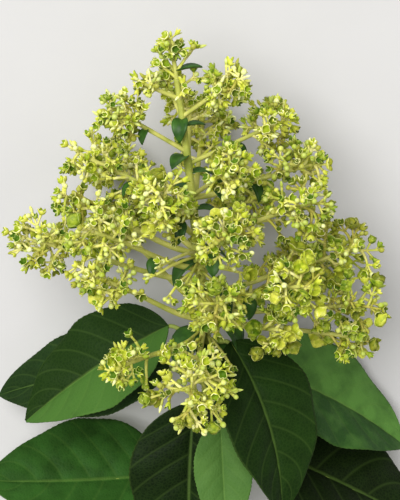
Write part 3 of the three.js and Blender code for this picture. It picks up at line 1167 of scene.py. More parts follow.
@dataclass
class Limb:
    """A limb that is swept along a curve, with fine ribs along it and small swellings."""

    curve: Curve
    radius: Callable[[float], float]
    sides: int = 12
    steps: int = 24
    ribs: int = 5
    rib_depth: float = 0.05
    # The ribs wander to either side by this, in radians, at this rate along the limb.
    rib_wander: float = 0.6
    rib_rate: float = 9.0
    lumps: float = 0.03
    seed: int = 1

    def add_to(self, joined: JoinedMesh) -> None:
        """Adds the limb's closed tube to a joined mesh.

        Args:
            joined: The mesh that it joins.
        """
        draw = random.Random(self.seed)
        swells = np.array([1 + self.lumps * draw.uniform(-1, 1) for _ in range(self.steps + 1)])
        tube = Template.of(closed_tube(self.sides, self.steps))
        x, y, t = tube.points.T
        ring = np.rint(t * self.steps).astype(int)
        middles, rights, ups = (np.array(part)[ring] for part in zip(*self.frames()))
        angle = np.arctan2(y, x)
        wander = self.rib_wander * np.sin(self.rib_rate * t)
        ripple = 1 + self.rib_depth * np.cos(self.ribs * angle + wander)
        radii = np.array([self.radius(i / self.steps) for i in range(self.steps + 1)])
        radius = (radii[ring] * swells[ring] * ripple)[:, None]
        across = rights * np.cos(angle)[:, None] + ups * np.sin(angle)[:, None]
        joined.add(tube, (middles + across * radius)[None])

    def frames(self) -> list[tuple[Array, Array, Array]]:
        """Lays out the limb's rings, carried along it without a twist.

        Returns:
            Each ring's middle and two directions across.
        """
        points = [self.curve(i / self.steps) for i in range(self.steps + 1)]
        side = square_to(unit(points[1] - points[0]))[0]
        frames = []
        for i, point in enumerate(points):
            along = unit(points[min(i + 1, self.steps)] - points[max(i - 1, 0)])
            side = unit(side - along * float(side @ along))
            frames.append((point, side, np.cross(along, side)))
        return frames


def smooth_curve(points: Sequence[Array]) -> Curve:
    """Makes a smooth curve through points, evenly spaced in its parameter.

    Args:
        points: The points that it passes through.

    Returns:
        The curve, from 0 at the first point to 1 at the last.
    """
    padded = [2 * points[0] - points[1], *points, 2 * points[-1] - points[-2]]

    def at(t: float) -> Array:
        """Finds a point of the curve.

        Args:
            t: The share of the way.

        Returns:
            The point.
        """
        place = t * (len(points) - 1)
        i = min(int(place), len(points) - 2)
        u = place - i
        a, b, c, d = padded[i : i + 4]
        bend = (2 * a - 5 * b + 4 * c - d) * u**2 + (3 * b - a - 3 * c + d) * u**3
        return b + ((c - a) * u + bend) / 2

    return at


@dataclass
class StemPiece:
    """The main stem, swollen at each branch and leaf, with a clean cut at its foot."""

    growth: Growth
    sides: int = 28
    steps: int = 260
    ribs: int = 6
    rib_depth: float = 0.035
    lumps: float = 0.012
    node_swell: float = 0.16
    node_length: float = 1.5
    # Bark in its first year: yellow-green, dull between its ribs, with pale pores.
    finish: Finish = GreenBark("young_stem_bark", "#A9AE4E", "#87923A")

    def radius(self, t: float) -> float:
        """Finds the stem's radius with the swellings at its nodes.

        Args:
            t: The share of the way from the cut end to the tip.

        Returns:
            The radius.
        """
        stem = self.growth.stem
        height = mix(stem.cut, stem.tip, t)
        nodes = [c.height for c in self.growth.clusters] + [leaf.plan.at[0] for leaf in self.growth.leaves]
        swell = max(math.exp(-(((height - n) / self.node_length) ** 2)) for n in nodes)
        return stem.radius(height) * (1 + self.node_swell * swell)

    def build(self) -> Object:
        """Builds the stem.

        Returns:
            The piece.
        """
        joined = JoinedMesh()
        sizes = self.sides, self.steps, self.ribs, self.rib_depth
        stem = Limb(self.growth.stem.line, self.radius, *sizes, lumps=self.lumps, seed=SEED)
        stem.add_to(joined)
        piece = finish_object("stem", joined.mesh("stem"), [self.finish.material()])
        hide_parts("main_stem")
        return piece


@dataclass
class BoughPiece:
    """The boughs and the stalks of their clusters, each one tapering limb rooted in the stem."""

    growth: Growth
    flare: float = 1.3
    flare_length: float = 0.08
    root: float = 0.35
    bends: int = 5
    # Bark of this year's growth: paler and yellower than the stem's.
    finish: Finish = GreenBark("young_bough_bark", "#C3C166", "#A0A648")

    def limb(self, cluster: Cluster) -> Limb:
        """Lays out the limb from inside the stem to the end of a cluster's stalk.

        Args:
            cluster: The cluster that it carries.

        Returns:
            The limb, which follows the solid bough and stalk.
        """
        rule = self.growth.limb
        root = mix(self.growth.stem.point(cluster.height), cluster.start, self.root)
        end = self.growth.stalk_end(cluster)
        if cluster.has_bough:
            bough = self.growth.bough_curve(cluster)
            points = [root, *(bough(i / self.bends) for i in range(self.bends + 1)), end]
            thickest = rule.bough_foot
        else:
            points = [root, cluster.start, mix(cluster.start, end, 0.5), end]
            thickest = rule.bough_tip

        def radius(t: float) -> float:
            """Returns the radius at a share of the way."""
            flare = 1 + (self.flare - 1) * math.exp(-((t / self.flare_length) ** 2))
            return mix(thickest, rule.stalk, t) * flare

        return Limb(smooth_curve(points), radius, seed=SEED + cluster.index)

    def build(self) -> Object:
        """Builds all boughs as one piece.

        Returns:
            The piece.
        """
        joined = JoinedMesh()
        for cluster in self.growth.clusters:
            self.limb(cluster).add_to(joined)
        piece = finish_object("boughs", joined.mesh("boughs"), [self.finish.material()])
        names = [f"branch_{c.name}" for c in self.growth.clusters if c.has_bough]
        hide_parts(*names)
        return piece


@dataclass
class TwigBatch:
    """Fine twigs of one tint, each a bent tapering tube that widens into the flower at its end."""

    # How much of the way to its set-off the middle of a twig is bent.
    BEND = 0.45
    # Keeps a direction from being zero where a twig turns back on itself.
    TINY = 1e-9

    # Each twig's foot, the point that it bends towards, its end and its radii.
    rows: list[tuple[Array, ...]] = field(default_factory=list)

    def add(self, foot: Array, end: Array, set_off: Array, radii: Triple) -> None:
        """Adds a twig that sets off in one direction and bends to its end.

        Args:
            foot: Where it starts.
            end: Where it ends.
            set_off: The direction that it sets off in.
            radii: Its radius at its foot, its radius near its end and how much it widens there.
        """
        half = float(np.linalg.norm(end - foot)) / 2
        knee = mix((foot + end) / 2, foot + set_off * half, self.BEND)
        self.rows.append((foot, knee, end, np.array(radii)))

    def placed(self, template: Template) -> Array:
        """Bends a straight tube template along every twig.

        Args:
            template: A tube of radius 1 from z = 0 to z = 1.

        Returns:
            The points of each copy.
        """
        foot, knee, end, radii = (np.array(part)[:, None, :] for part in zip(*self.rows))
        first, last, swell = (radii[..., i, None] for i in range(3))
        x, y, t = (template.points[:, i][None, :, None] for i in range(3))
        centre = (1 - t) ** 2 * foot + 2 * t * (1 - t) * knee + t**2 * end
        along = unit(2 * (1 - t) * (knee - foot) + 2 * t * (end - knee) + self.TINY)
        other = np.where(np.abs(unit(end - foot)[..., 2:]) < NEARLY_UPRIGHT, Z_AXIS, X_AXIS)
        side = unit(np.cross(along, other))
        up = np.cross(along, side)
        radius = first * (1 - t) + last * t + swell * t**4
        return centre + (side * x + up * y) * radius


@dataclass
class BloomBatch:
    """Flowers of one shape and tint, each a turned and scaled copy."""

    # Each flower's foot, the direction in which it faces, its spin and its radius.
    rows: list[tuple[Array, Array, float, float]] = field(default_factory=list)

    def placed(self, template: Template) -> Array:
        """Turns and scales the template to every flower's place.

        Args:
            template: A shape that stands on its foot at the origin and faces +Z.

        Returns:
            The points of each copy.
        """
        place, axis, spin, size = map(np.array, zip(*self.rows))
        side, up = square_to(axis)
        right = side * np.cos(spin)[:, None] - up * np.sin(spin)[:, None]
        frame = np.stack([right, np.cross(axis, right), axis], axis=1)
        return place[:, None, :] + (template.points @ frame) * size[:, None, None]


@dataclass(frozen=True)
class BudShape:
    """A closed bud of radius 1, creased where its petals meet. It can be long and drawn to a point."""

    length: float = 2.1
    point: float = 0.0
    creases: int = 4
    crease: float = 0.06
    sides: int = 8
    rings: int = 6

    def template(self) -> Template:
        """Models the bud with its foot at the origin.

        Returns:
            The bud as a template.
        """
        bm = bmesh.new()
        bmesh.ops.create_uvsphere(bm, u_segments=self.sides, v_segments=self.rings, radius=1.0)
        for vertex in bm.verts:
            x, y, z = vertex.co
            up = (z + 1) / 2
            crease = 1 - self.crease * (1 + math.cos(self.creases * math.atan2(y, x))) * up
            width = crease * (1 - self.point * up * up)
            vertex.co = Vector((x * width, y * width, up * self.length))
        return Template.of(bm)


@dataclass(frozen=True)
class RaggedCup:
    """A half-open flower: a cup with a ragged rim of small lobes. Sizes are in shares of its radius.

    The profile runs up the outside, over the rim and down the inside to the floor, as pairs of a
    radius and a height.
    """

    # A point on the line between two lobes counts for the second.
    NUDGE = 1e-6

    profile: tuple[Pair, ...] = (
        (0.28, 0.0), (0.8, 0.48), (1.02, 1.0), (0.88, 1.06), (0.58, 0.55), (0.22, 0.4)
    )
    lobes: int = 4
    lobe_sides: int = 3
    ragged: float = 0.30
    waist: float = 0.22
    # How far the rim drops between two lobes, in shares of what it rises at one.
    notch: float = 0.7
    lobe_heights: Pair = (0.6, 1.35)
    lobe_leans: Pair = (-0.16, 0.22)
    # The ring of faces that makes the rim, counted from the foot.
    rim_ring: int = 2
    seed: int = 1

    def template(self) -> Template:
        """Models the cup from a closed tube whose rings follow the profile.

        Returns:
            The cup as a template, with its hollow and its rim in slots of their own.
        """
        steps = len(self.profile) - 1
        draw = random.Random(self.seed)
        limits = self.lobe_heights, self.lobe_leans
        lobes = [[draw.uniform(*pair) for pair in limits] for _ in range(self.lobes)]
        bm = closed_tube(self.lobes * self.lobe_sides, steps)
        for face in bm.faces:
            ring = face.calc_center_median().z * steps - self.rim_ring
            part = Part.OUTSIDE if ring < 0 else Part.RIM if 0 < ring < 1 else Part.HOLLOW
            face.material_index = part.value
        tallest = max(height for _, height in self.profile)
        for vertex in bm.verts:
            radius, height = self.profile[round(vertex.co.z * steps)]
            turn = (math.atan2(vertex.co.y, vertex.co.x) / math.tau) % 1.0 * self.lobes
            tall, lean = lobes[int(turn + self.NUDGE) % self.lobes]
            full = math.sin(math.pi * (turn % 1.0))
            share = (height / tallest) ** 2
            radius *= 1 + share * (lean * full - self.waist * (1 - full))
            height += share * self.ragged * (tall * full - self.notch * (1 - full))
            across = math.hypot(vertex.co.x, vertex.co.y)
            vertex.co = Vector((vertex.co.x / across * radius, vertex.co.y / across * radius, height))
        return Template.of(bm)


@dataclass(frozen=True)
class SepalCup:
    """A wide flower of a few broad sepals round its middle. Sizes are in shares of its radius.

    The first angle is how steeply a sepal leaves the middle, and the last how steep it is at its tip.
    """

    sepals: int = 4
    first_angle: float = 25.0
    last_angle: float = 105.0
    length: float = 1.25
    width: float = 0.62
    hollow: float = 0.28
    thickness: float = 0.045
    skew: float = 0.0
    columns: int = 4
    rows: int = 4
    foot: float = 0.08
    path_steps: int = 20
    # The stretch of a half sine wave that a sepal's outline follows from foot to tip, and how full.
    outline: Pair = (0.14, 0.93)
    fullness: float = 0.7
    # What tells the hollow side: how far out it turns from up to inward, and by how much it faces so.
    turn_reach: float = 0.5
    upward: float = 0.8
    least_inward: float = 0.2

    def template(self) -> Template:
        """Models one sepal from a grid, gives it its thickness and spins it round the middle.

        Returns:
            The whole flower as a template, with its hollow side in a slot of its own.
        """
        bm = bmesh.new()
        bmesh.ops.create_grid(bm, x_segments=self.columns, y_segments=self.rows, size=1.0)
        step = self.length / self.path_steps
        path = [(self.foot, 0.0)]
        for i in range(self.path_steps):
            angle = math.radians(mix(self.first_angle, self.last_angle, (i + 0.5) / self.path_steps))
            path.append((path[-1][0] + math.cos(angle) * step, path[-1][1] + math.sin(angle) * step))
        for vertex in bm.verts:
            u, v = vertex.co.x, (vertex.co.y + 1) / 2
            place, rise = path[round(v * self.path_steps)]
            half = self.width * math.sin(math.pi * mix(*self.outline, v)) ** self.fullness
            bend = self.hollow * u * u * half
            angle = math.radians(mix(self.first_angle, self.last_angle, v))
            out = place - math.sin(angle) * bend + self.skew * v * u
            vertex.co = Vector((out, u * half, rise + math.cos(angle) * bend))
        bmesh.ops.solidify(bm, geom=bm.faces[:], thickness=self.thickness)
        bmesh.ops.recalc_face_normals(bm, faces=bm.faces)
        for face in bm.faces:
            turn = math.atan2(face.calc_center_median().x, self.turn_reach)
            inward = face.normal.z * self.upward - face.normal.x * math.sin(turn)
            part = Part.HOLLOW if inward > self.least_inward else Part.OUTSIDE
            if face.calc_area() < self.thickness * self.width:
                part = Part.RIM
            face.material_index = part.value
        whole = bm.verts[:] + bm.edges[:] + bm.faces[:]
        more = self.sepals - 1
        turn = math.tau * more / self.sepals
        bmesh.ops.spin(bm, geom=whole, axis=(0, 0, 1), angle=turn, steps=more, use_duplicate=True)
        return Template.of(bm)


class Shape(Enum):
    """The shapes of flower, each modelled once and repeated."""

    ROUND_BUD = BudShape()
    FLAT_BUD = BudShape(1.8, -0.1, 5, 0.09)
    LONG_BUD = BudShape(3.9, 0.35)
    POINTED_BUD = BudShape(4.4, 0.6, 3, 0.1)
    CUP_EVEN = RaggedCup(seed=3)
    CUP_WIDE = RaggedCup(lobes=5, ragged=0.36, waist=0.3, seed=8)
    CUP_TALL = RaggedCup(
        ((0.26, 0.0), (0.62, 0.7), (0.88, 1.45), (0.78, 1.5), (0.5, 0.9), (0.2, 0.7)),
        ragged=0.42,
        waist=0.3,
        seed=21,
    )
    CUP_SHUT = RaggedCup(
        ((0.28, 0.0), (0.86, 0.62), (0.74, 1.28), (0.52, 1.36), (0.42, 0.95), (0.2, 0.8)),
        ragged=0.4,
        waist=0.34,
        seed=34,
    )
    OPEN_DEEP = SepalCup(4, 14, 96, 1.35, 0.62, 0.4)
    OPEN_THREE = SepalCup(3, 20, 104, 1.4, 0.8, 0.42)
    OPEN_SKEW = SepalCup(4, 28, 112, 1.45, 0.64, 0.5, skew=0.08)
    OPEN_WIDE = SepalCup(4, 2, 62, 1.25, 0.66, 0.45)


class Bloom(Enum):
    """The kinds of flower at a twig's end, with their shapes and their radii in millimetres."""

    BUD = ((Shape.ROUND_BUD, Shape.ROUND_BUD, Shape.FLAT_BUD), (0.95, 1.3))
    LONG = ((Shape.LONG_BUD, Shape.POINTED_BUD), (0.6, 0.85))
    CUP = ((Shape.CUP_EVEN, Shape.CUP_WIDE, Shape.CUP_TALL, Shape.CUP_SHUT), (1.25, 2.0))
    OPEN = ((Shape.OPEN_DEEP, Shape.OPEN_THREE, Shape.OPEN_SKEW, Shape.OPEN_WIDE), (2.5, 4.6))


@dataclass(frozen=True)
class TintRule:
    """How the tints are dealt: paler towards the upper left, from where the light comes."""

    # How the shade grows to the right and up the stem, and where it begins and is full, in millimetres.
    rightward: float = 0.7
    upward: float = -0.25
    first: float = -25.0
    last: float = 45.0
    # The share of each tint in the light and in the shade.
    sunny: tuple[float, ...] = (0.3, 0.42, 0.22, 0.06)
    shaded: tuple[float, ...] = (0.06, 0.22, 0.32, 0.4)


@dataclass(frozen=True)
class SprayRule:
    """How a spray of flowers branches. Lengths are shares of the spray's radius, radii millimetres."""

    hub: float = 0.9
    arms: tuple[int, int] = (1, 2)
    arm_tilt: Pair = (38.0, 68.0)
    # How far an arm strays from its even place round the hub, in radians.
    arm_stray: float = 0.4
    arm_length: Pair = (0.7, 1.1)
    top_length: Pair = (0.95, 1.3)
    side_tilt: Pair = (38.0, 66.0)
    side_length: Pair = (1.5, 2.4)
    side_foot: Pair = (0.35, 0.75)
    twig: Triple = (0.72, 0.58, 0.0)
    arm: Triple = (0.52, 0.38, 0.24)
    pedicel: Triple = (0.4, 0.32, 0.18)
    # How much a spray's twig sets off along its cluster's stalk rather than straight to its end.
    set_off: float = 0.9
    roomy: float = 2.9
    odd_tints: float = 0.35
    # How deep a flower's foot is sunk in its twig, and the radius of the bud inside a wide one.
    sunk: float = 0.15
    heart: float = 0.5
    # A flower's foot, and a wide one's, lie at least this high, so that none goes through the table.
    table: float = 4.6
    wide_table: float = 6.8


@dataclass(frozen=True)
class SprigRule:
    """Where the finer side twigs of the twigs and of the boughs grow. Lengths are in millimetres."""

    twig_shares: tuple[float, ...] = (0.3, 0.5, 0.72)
    twig_tilt: Pair = (50.0, 70.0)
    twig_length: Pair = (3.8, 5.6)
    twig_radius: float = 1.8
    bough_shares: tuple[float, ...] = (0.42, 0.56, 0.7, 0.84, 0.97)
    bough_tilt: Pair = (44.0, 66.0)
    bough_lengths: tuple[float, ...] = (11.0, 8.5, 6.5)
    bough_radius: float = 2.8
    bough_least: float = 2.0
    apart: float = 0.85
    # On the stem itself: a height, a bearing, a rise, a length and the spray's radius.
    on_stem: tuple[tuple[float, ...], ...] = (
        (103, 280, 52, 11.5, 2.8),
        (101, 268, 40, 9, 2.4),
        (103, 95, 55, 12, 2.4),
        (96, 112, 40, 8.5, 2.2),
        (92, 15, 48, 9, 2.6),
        (31, 330, 4, 30, 2.6),
        (29, 318, -4, 27, 2.4),
        (27, 350, 0, 32, 2.8),
        (24, 335, -6, 30, 2.6),
        (21, 352, 6, 27, 2.6),
        (18, 20, 10, 30, 2.8),
        (28, 28, 8, 28, 2.8),
        (25, 40, 8, 27, 2.6),
        (23, 15, 6, 28, 2.8),
        (19, 38, 4, 32, 2.8),
        (-2, 338, 2, 27, 2.8),
        (-4, 330, -2, 23, 2.6),
        (-3, 350, 8, 25, 2.8),
        (-5, 342, -10, 26, 2.6),
        (-4, 8, 0, 27, 2.8),
        (-4, 22, -8, 28, 2.6),
    )


@dataclass
class FlowerHead:
    """The fine twigs and the flowers of the whole head, dealt out to pieces by kind and tint."""

    PIECE_NAMES = {TwigBatch: "twigs", BudShape: "buds", RaggedCup: "cups", SepalCup: "open_flowers"}
    # How many sides and lengths a twig's tube has, and a flower stalk's.
    TUBES = ((5, 3), (4, 2))

    growth: Growth
    spray: SprayRule = SprayRule()
    sprig: SprigRule = SprigRule()
    tint: TintRule = TintRule()

    def __post_init__(self) -> None:
        """Starts the draw, with no sprays yet."""
        self.twigs = {tint: TwigBatch() for tint in Tint}
        self.pedicels = {tint: TwigBatch() for tint in Tint}
        self.blooms = {(tint, shape): BloomBatch() for tint in Tint for shape in Shape}
        self.draw = random.Random(SEED)

    def between(self, limits: Pair) -> float:
        """Returns a seeded draw between two limits."""
        return self.draw.uniform(*limits)

    def pick_tint(self, cluster: Cluster) -> Tint:
        """Deals out a tint.

        Args:
            cluster: The cluster that the spray grows in.

        Returns:
            The tint.
        """
        rule = self.tint
        away = cluster.middle[0] * rule.rightward + cluster.middle[1] * rule.upward
        shade = min(max((away - rule.first) / (rule.last - rule.first), 0.0), 1.0)
        shares = [mix(a, b, shade) for a, b in zip(rule.sunny, rule.shaded)]
        return self.draw.choices(tuple(Tint), shares)[0]

    def pick_bloom(self, cluster: Cluster, at_end: bool) -> Bloom:
        """Deals out a kind of flower.

        Args:
            cluster: The cluster that it grows in.
            at_end: Whether it grows at an arm's end, the only place for a wide open one.

        Returns:
            The kind.
        """
        blooms = cluster.blooms.value
        wide = blooms.wide if at_end else 0.0
        return self.draw.choices(tuple(Bloom), (blooms.buds, blooms.long_buds, blooms.cups, wide))[0]

    def add_bloom(self, place: Array, axis: Array, kind: Bloom, tint: Tint) -> None:
        """Adds a flower at a twig's end. Some flowers have another tint than their spray.

        Args:
            place: The twig's end.
            axis: The direction in which the flower faces.
            kind: The kind of flower.
            tint: The spray's tint.
        """
        shapes, sizes = kind.value
        if self.draw.random() < self.spray.odd_tints:
            tint = self.draw.choice(tuple(Tint))
        batch = self.blooms[tint, self.draw.choice(shapes)]
        foot = place - axis * self.spray.sunk
        batch.rows.append((foot, axis, self.draw.uniform(0, math.tau), self.between(sizes)))
        if kind is Bloom.OPEN:
            self.blooms[tint, Shape.ROUND_BUD].rows.append((place, axis, 0.0, self.spray.heart))

    def grow_arm(self, hub: Array, aim: Array, length: float, cluster: Cluster, tint: Tint) -> None:
        """Grows an arm of a spray: a twig with a flower at its end and others on short stalks below.

        Args:
            hub: Where it starts.
            aim: Its direction.
            length: Its length.
            cluster: The cluster that it grows in.
            tint: The spray's tint.
        """
        rule = self.spray
        end = hub + aim * length
        last = self.pick_bloom(cluster, True)
        end[2] = max(end[2], rule.wide_table if last is Bloom.OPEN else rule.table)
        self.twigs[tint].add(hub, end, aim, rule.arm)
        self.add_bloom(end, aim, last, tint)
        turn = self.draw.uniform(0, math.tau)
        for i in range(2):
            if last is Bloom.OPEN or self.draw.random() > cluster.blooms.value.fullness:
                continue
            side = turned(aim, math.radians(self.between(rule.side_tilt)), turn + math.pi * i)
            foot = hub + aim * length * self.between(rule.side_foot)
            side_end = foot + side * self.between(rule.side_length)
            side_end[2] = max(side_end[2], rule.table)
            self.pedicels[tint].add(foot, side_end, unit(aim + side), rule.pedicel)
            self.add_bloom(side_end, side, self.pick_bloom(cluster, False), tint)

    def grow_spray(self, tuft: Tuft, cluster: Cluster) -> None:
        """Grows a twig and the spray at its end: one arm straight on and others round it.

        Args:
            tuft: The twig's ends and the radius of its spray.
            cluster: Its cluster.
        """
        rule = self.spray
        tint = self.pick_tint(cluster)
        axis = unit(tuft.end - tuft.foot)
        hub = tuft.end - axis * rule.hub * tuft.radius
        self.twigs[tint].add(tuft.foot, hub, unit(axis + cluster.direction * rule.set_off), rule.twig)
        self.grow_arm(hub, axis, self.between(rule.top_length) * tuft.radius, cluster, tint)
        count = rule.arms[1] if tuft.radius > rule.roomy else rule.arms[0]
        turn = self.draw.uniform(0, math.tau)
        for i in range(count):
            bearing = turn + math.tau * i / count + self.draw.uniform(-rule.arm_stray, rule.arm_stray)
            aim = turned(axis, math.radians(self.between(rule.arm_tilt)), bearing)
            self.grow_arm(hub, aim, self.between(rule.arm_length) * tuft.radius, cluster, tint)

    def fits(self, tuft: Tuft, cluster: Cluster, taken: list[Tuft]) -> bool:
        """Tells whether a side spray has room in its cluster's space and beside the others.

        Args:
            tuft: The spray and its twig.
            cluster: Its cluster.
            taken: The other sprays.

        Returns:
            Whether it has.
        """
        if tuft.end[2] < tuft.radius:
            return False
        apart = self.sprig.apart
        if any(np.linalg.norm(t.end - tuft.end) < apart * (t.radius + tuft.radius) for t in taken):
            return False
        return self.growth.has_room(cluster, tuft)

    def twig_sprigs(self, main: Tuft, cluster: Cluster, taken: list[Tuft]) -> list[Tuft]:
        """Lays out the side sprays of a main twig, inside its cluster.

        Args:
            main: The main twig.
            cluster: Its cluster.
            taken: The sprays that they keep clear of.

        Returns:
            The side sprays.
        """
        rule = self.sprig
        axis = unit(main.end - main.foot)
        turn = self.draw.uniform(0, math.tau)
        found: list[Tuft] = []
        for i, share in enumerate(rule.twig_shares):
            foot = mix(main.foot, main.end, share)
            bearing = turn + i * math.radians(GOLDEN_ANGLE)
            lean = turned(axis, math.radians(self.between(rule.twig_tilt)), bearing)
            end = foot + lean * self.between(rule.twig_length)
            tuft = Tuft(foot, end, rule.twig_radius, self.growth.limb.fork)
            inside = np.linalg.norm(end - cluster.middle) < cluster.radius
            if inside and self.fits(tuft, cluster, taken + found):
                found.append(tuft)
        return found

    def bough_sprigs(self, cluster: Cluster, taken: list[Tuft]) -> list[Tuft]:
        """Lays out the side sprays of a bough, in pairs that are turned from one pair to the next.

        Args:
            cluster: The cluster that the bough carries.
            taken: The sprays that they keep clear of.

        Returns:
            The side sprays.
        """
        if not cluster.has_bough:
            return []
        rule = self.sprig
        bough = self.growth.bough_curve(cluster)
        turn = self.draw.uniform(0, math.tau)
        found: list[Tuft] = []
        for i, share in enumerate(rule.bough_shares):
            if share < cluster.bare:
                continue
            foot = bough(share)
            for half in range(2):
                bearing = turn + math.pi * (half + 0.5 * i)
                lean = turned(cluster.direction, math.radians(self.between(rule.bough_tilt)), bearing)
                for length in rule.bough_lengths:
                    radius = max(rule.bough_radius * length / rule.bough_lengths[0], rule.bough_least)
                    tuft = Tuft(foot, foot + lean * length, radius, self.growth.limb.fork)
                    if self.fits(tuft, cluster, taken + found):
                        found.append(tuft)
                        break
        return found

    def grow(self) -> None:
        """Grows every cluster's sprays, then those on the stem itself."""
        growth = self.growth
        for cluster in growth.clusters:
            sprays = growth.tufts(cluster)
            for main in [tuft for tuft in sprays if tuft.neck == growth.limb.main]:
                sprays += self.twig_sprigs(main, cluster, sprays)
            sprays += self.bough_sprigs(cluster, sprays)
            for tuft in sprays:
                self.grow_spray(tuft, cluster)
        for height, bearing, rise, length, radius in self.sprig.on_stem:
            foot = growth.stem.point(height)
            end = foot + outward(bearing, rise) * length
            nearest = int(np.argmin(np.linalg.norm(growth.middles - end, axis=1)))
            self.grow_spray(Tuft(foot, end, radius, growth.limb.fork), growth.clusters[nearest])

    def materials(self, tint: Tint) -> dict[type, list[Material]]:
        """Makes the finishes of one tint.

        Args:
            tint: The tint.

        Returns:
            The materials of each kind of piece, in slot order.
        """
        colours, name = tint.value, tint.name.lower()
        # A twig is downy and pale, so it has nearly no gloss.
        twig = Finish(f"twig_skin_{name}", colours.twig, colours.sepal, 0.55, gloss=0.15)
        # A sepal's outside is waxed and lets some light in, so it glows at its edges.
        outside = Finish(f"sepal_outside_{name}", colours.sepal, colours.hollow, 0.36, gloss=0.18, flesh=0.2)
        # Its hollow side is dull and painted a deeper green, painted shade that makes the cup read as a dark
        # mouth.
        hollow = Finish(f"sepal_hollow_{name}", colours.hollow, colours.deep_shade, 0.5, gloss=0.1)
        # Its rim is painted the palest, a painted highlight in a thin line where it catches the light.
        rim = Finish(f"sepal_rim_{name}", colours.rim, colours.sepal, 0.3, gloss=0.35)
        # A wide flower is thin, so light comes through and its hollow side is nearly as pale.
        thin = Finish(f"thin_sepal_{name}", colours.hollow, colours.sepal, 0.45, flesh=0.3)
        # A bud's wax is smooth over its round top, so each bud has a small bright spot.
        bud = Finish(f"bud_wax_{name}", colours.bud, colours.sepal, 0.32, gloss=0.3, flesh=0.2)
        made = {finish: finish.material() for finish in (twig, outside, hollow, rim, thin, bud)}
        layers = {TwigBatch: [twig], BudShape: [bud]}
        layers |= {RaggedCup: [outside, hollow, rim], SepalCup: [outside, thin, rim]}
        return {kind: [made[finish] for finish in finishes] for kind, finishes in layers.items()}

    def build(self) -> list[Object]:
        """Joins the head's parts into pieces by kind and tint.

        Returns:
            The pieces.
        """
        templates = {shape: shape.value.template() for shape in Shape}
        tubes = [Template.of(closed_tube(sides, steps)) for sides, steps in self.TUBES]
        pieces = []
        for tint in Tint:
            meshes = {kind: JoinedMesh() for kind in self.PIECE_NAMES}
            for batch, tube in zip((self.twigs[tint], self.pedicels[tint]), tubes):
                meshes[TwigBatch].add(tube, batch.placed(tube))
            for shape in Shape:
                batch = self.blooms[tint, shape]
                if batch.rows:
                    meshes[type(shape.value)].add(templates[shape], batch.placed(templates[shape]))
            for kind, materials in self.materials(tint).items():
                name = f"{self.PIECE_NAMES[kind]}_{tint.name.lower()}"
                pieces.append(finish_object(name, meshes[kind].mesh(name), materials))
        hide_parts(*(f"cluster_{c.name}" for c in self.growth.clusters))
        return pieces


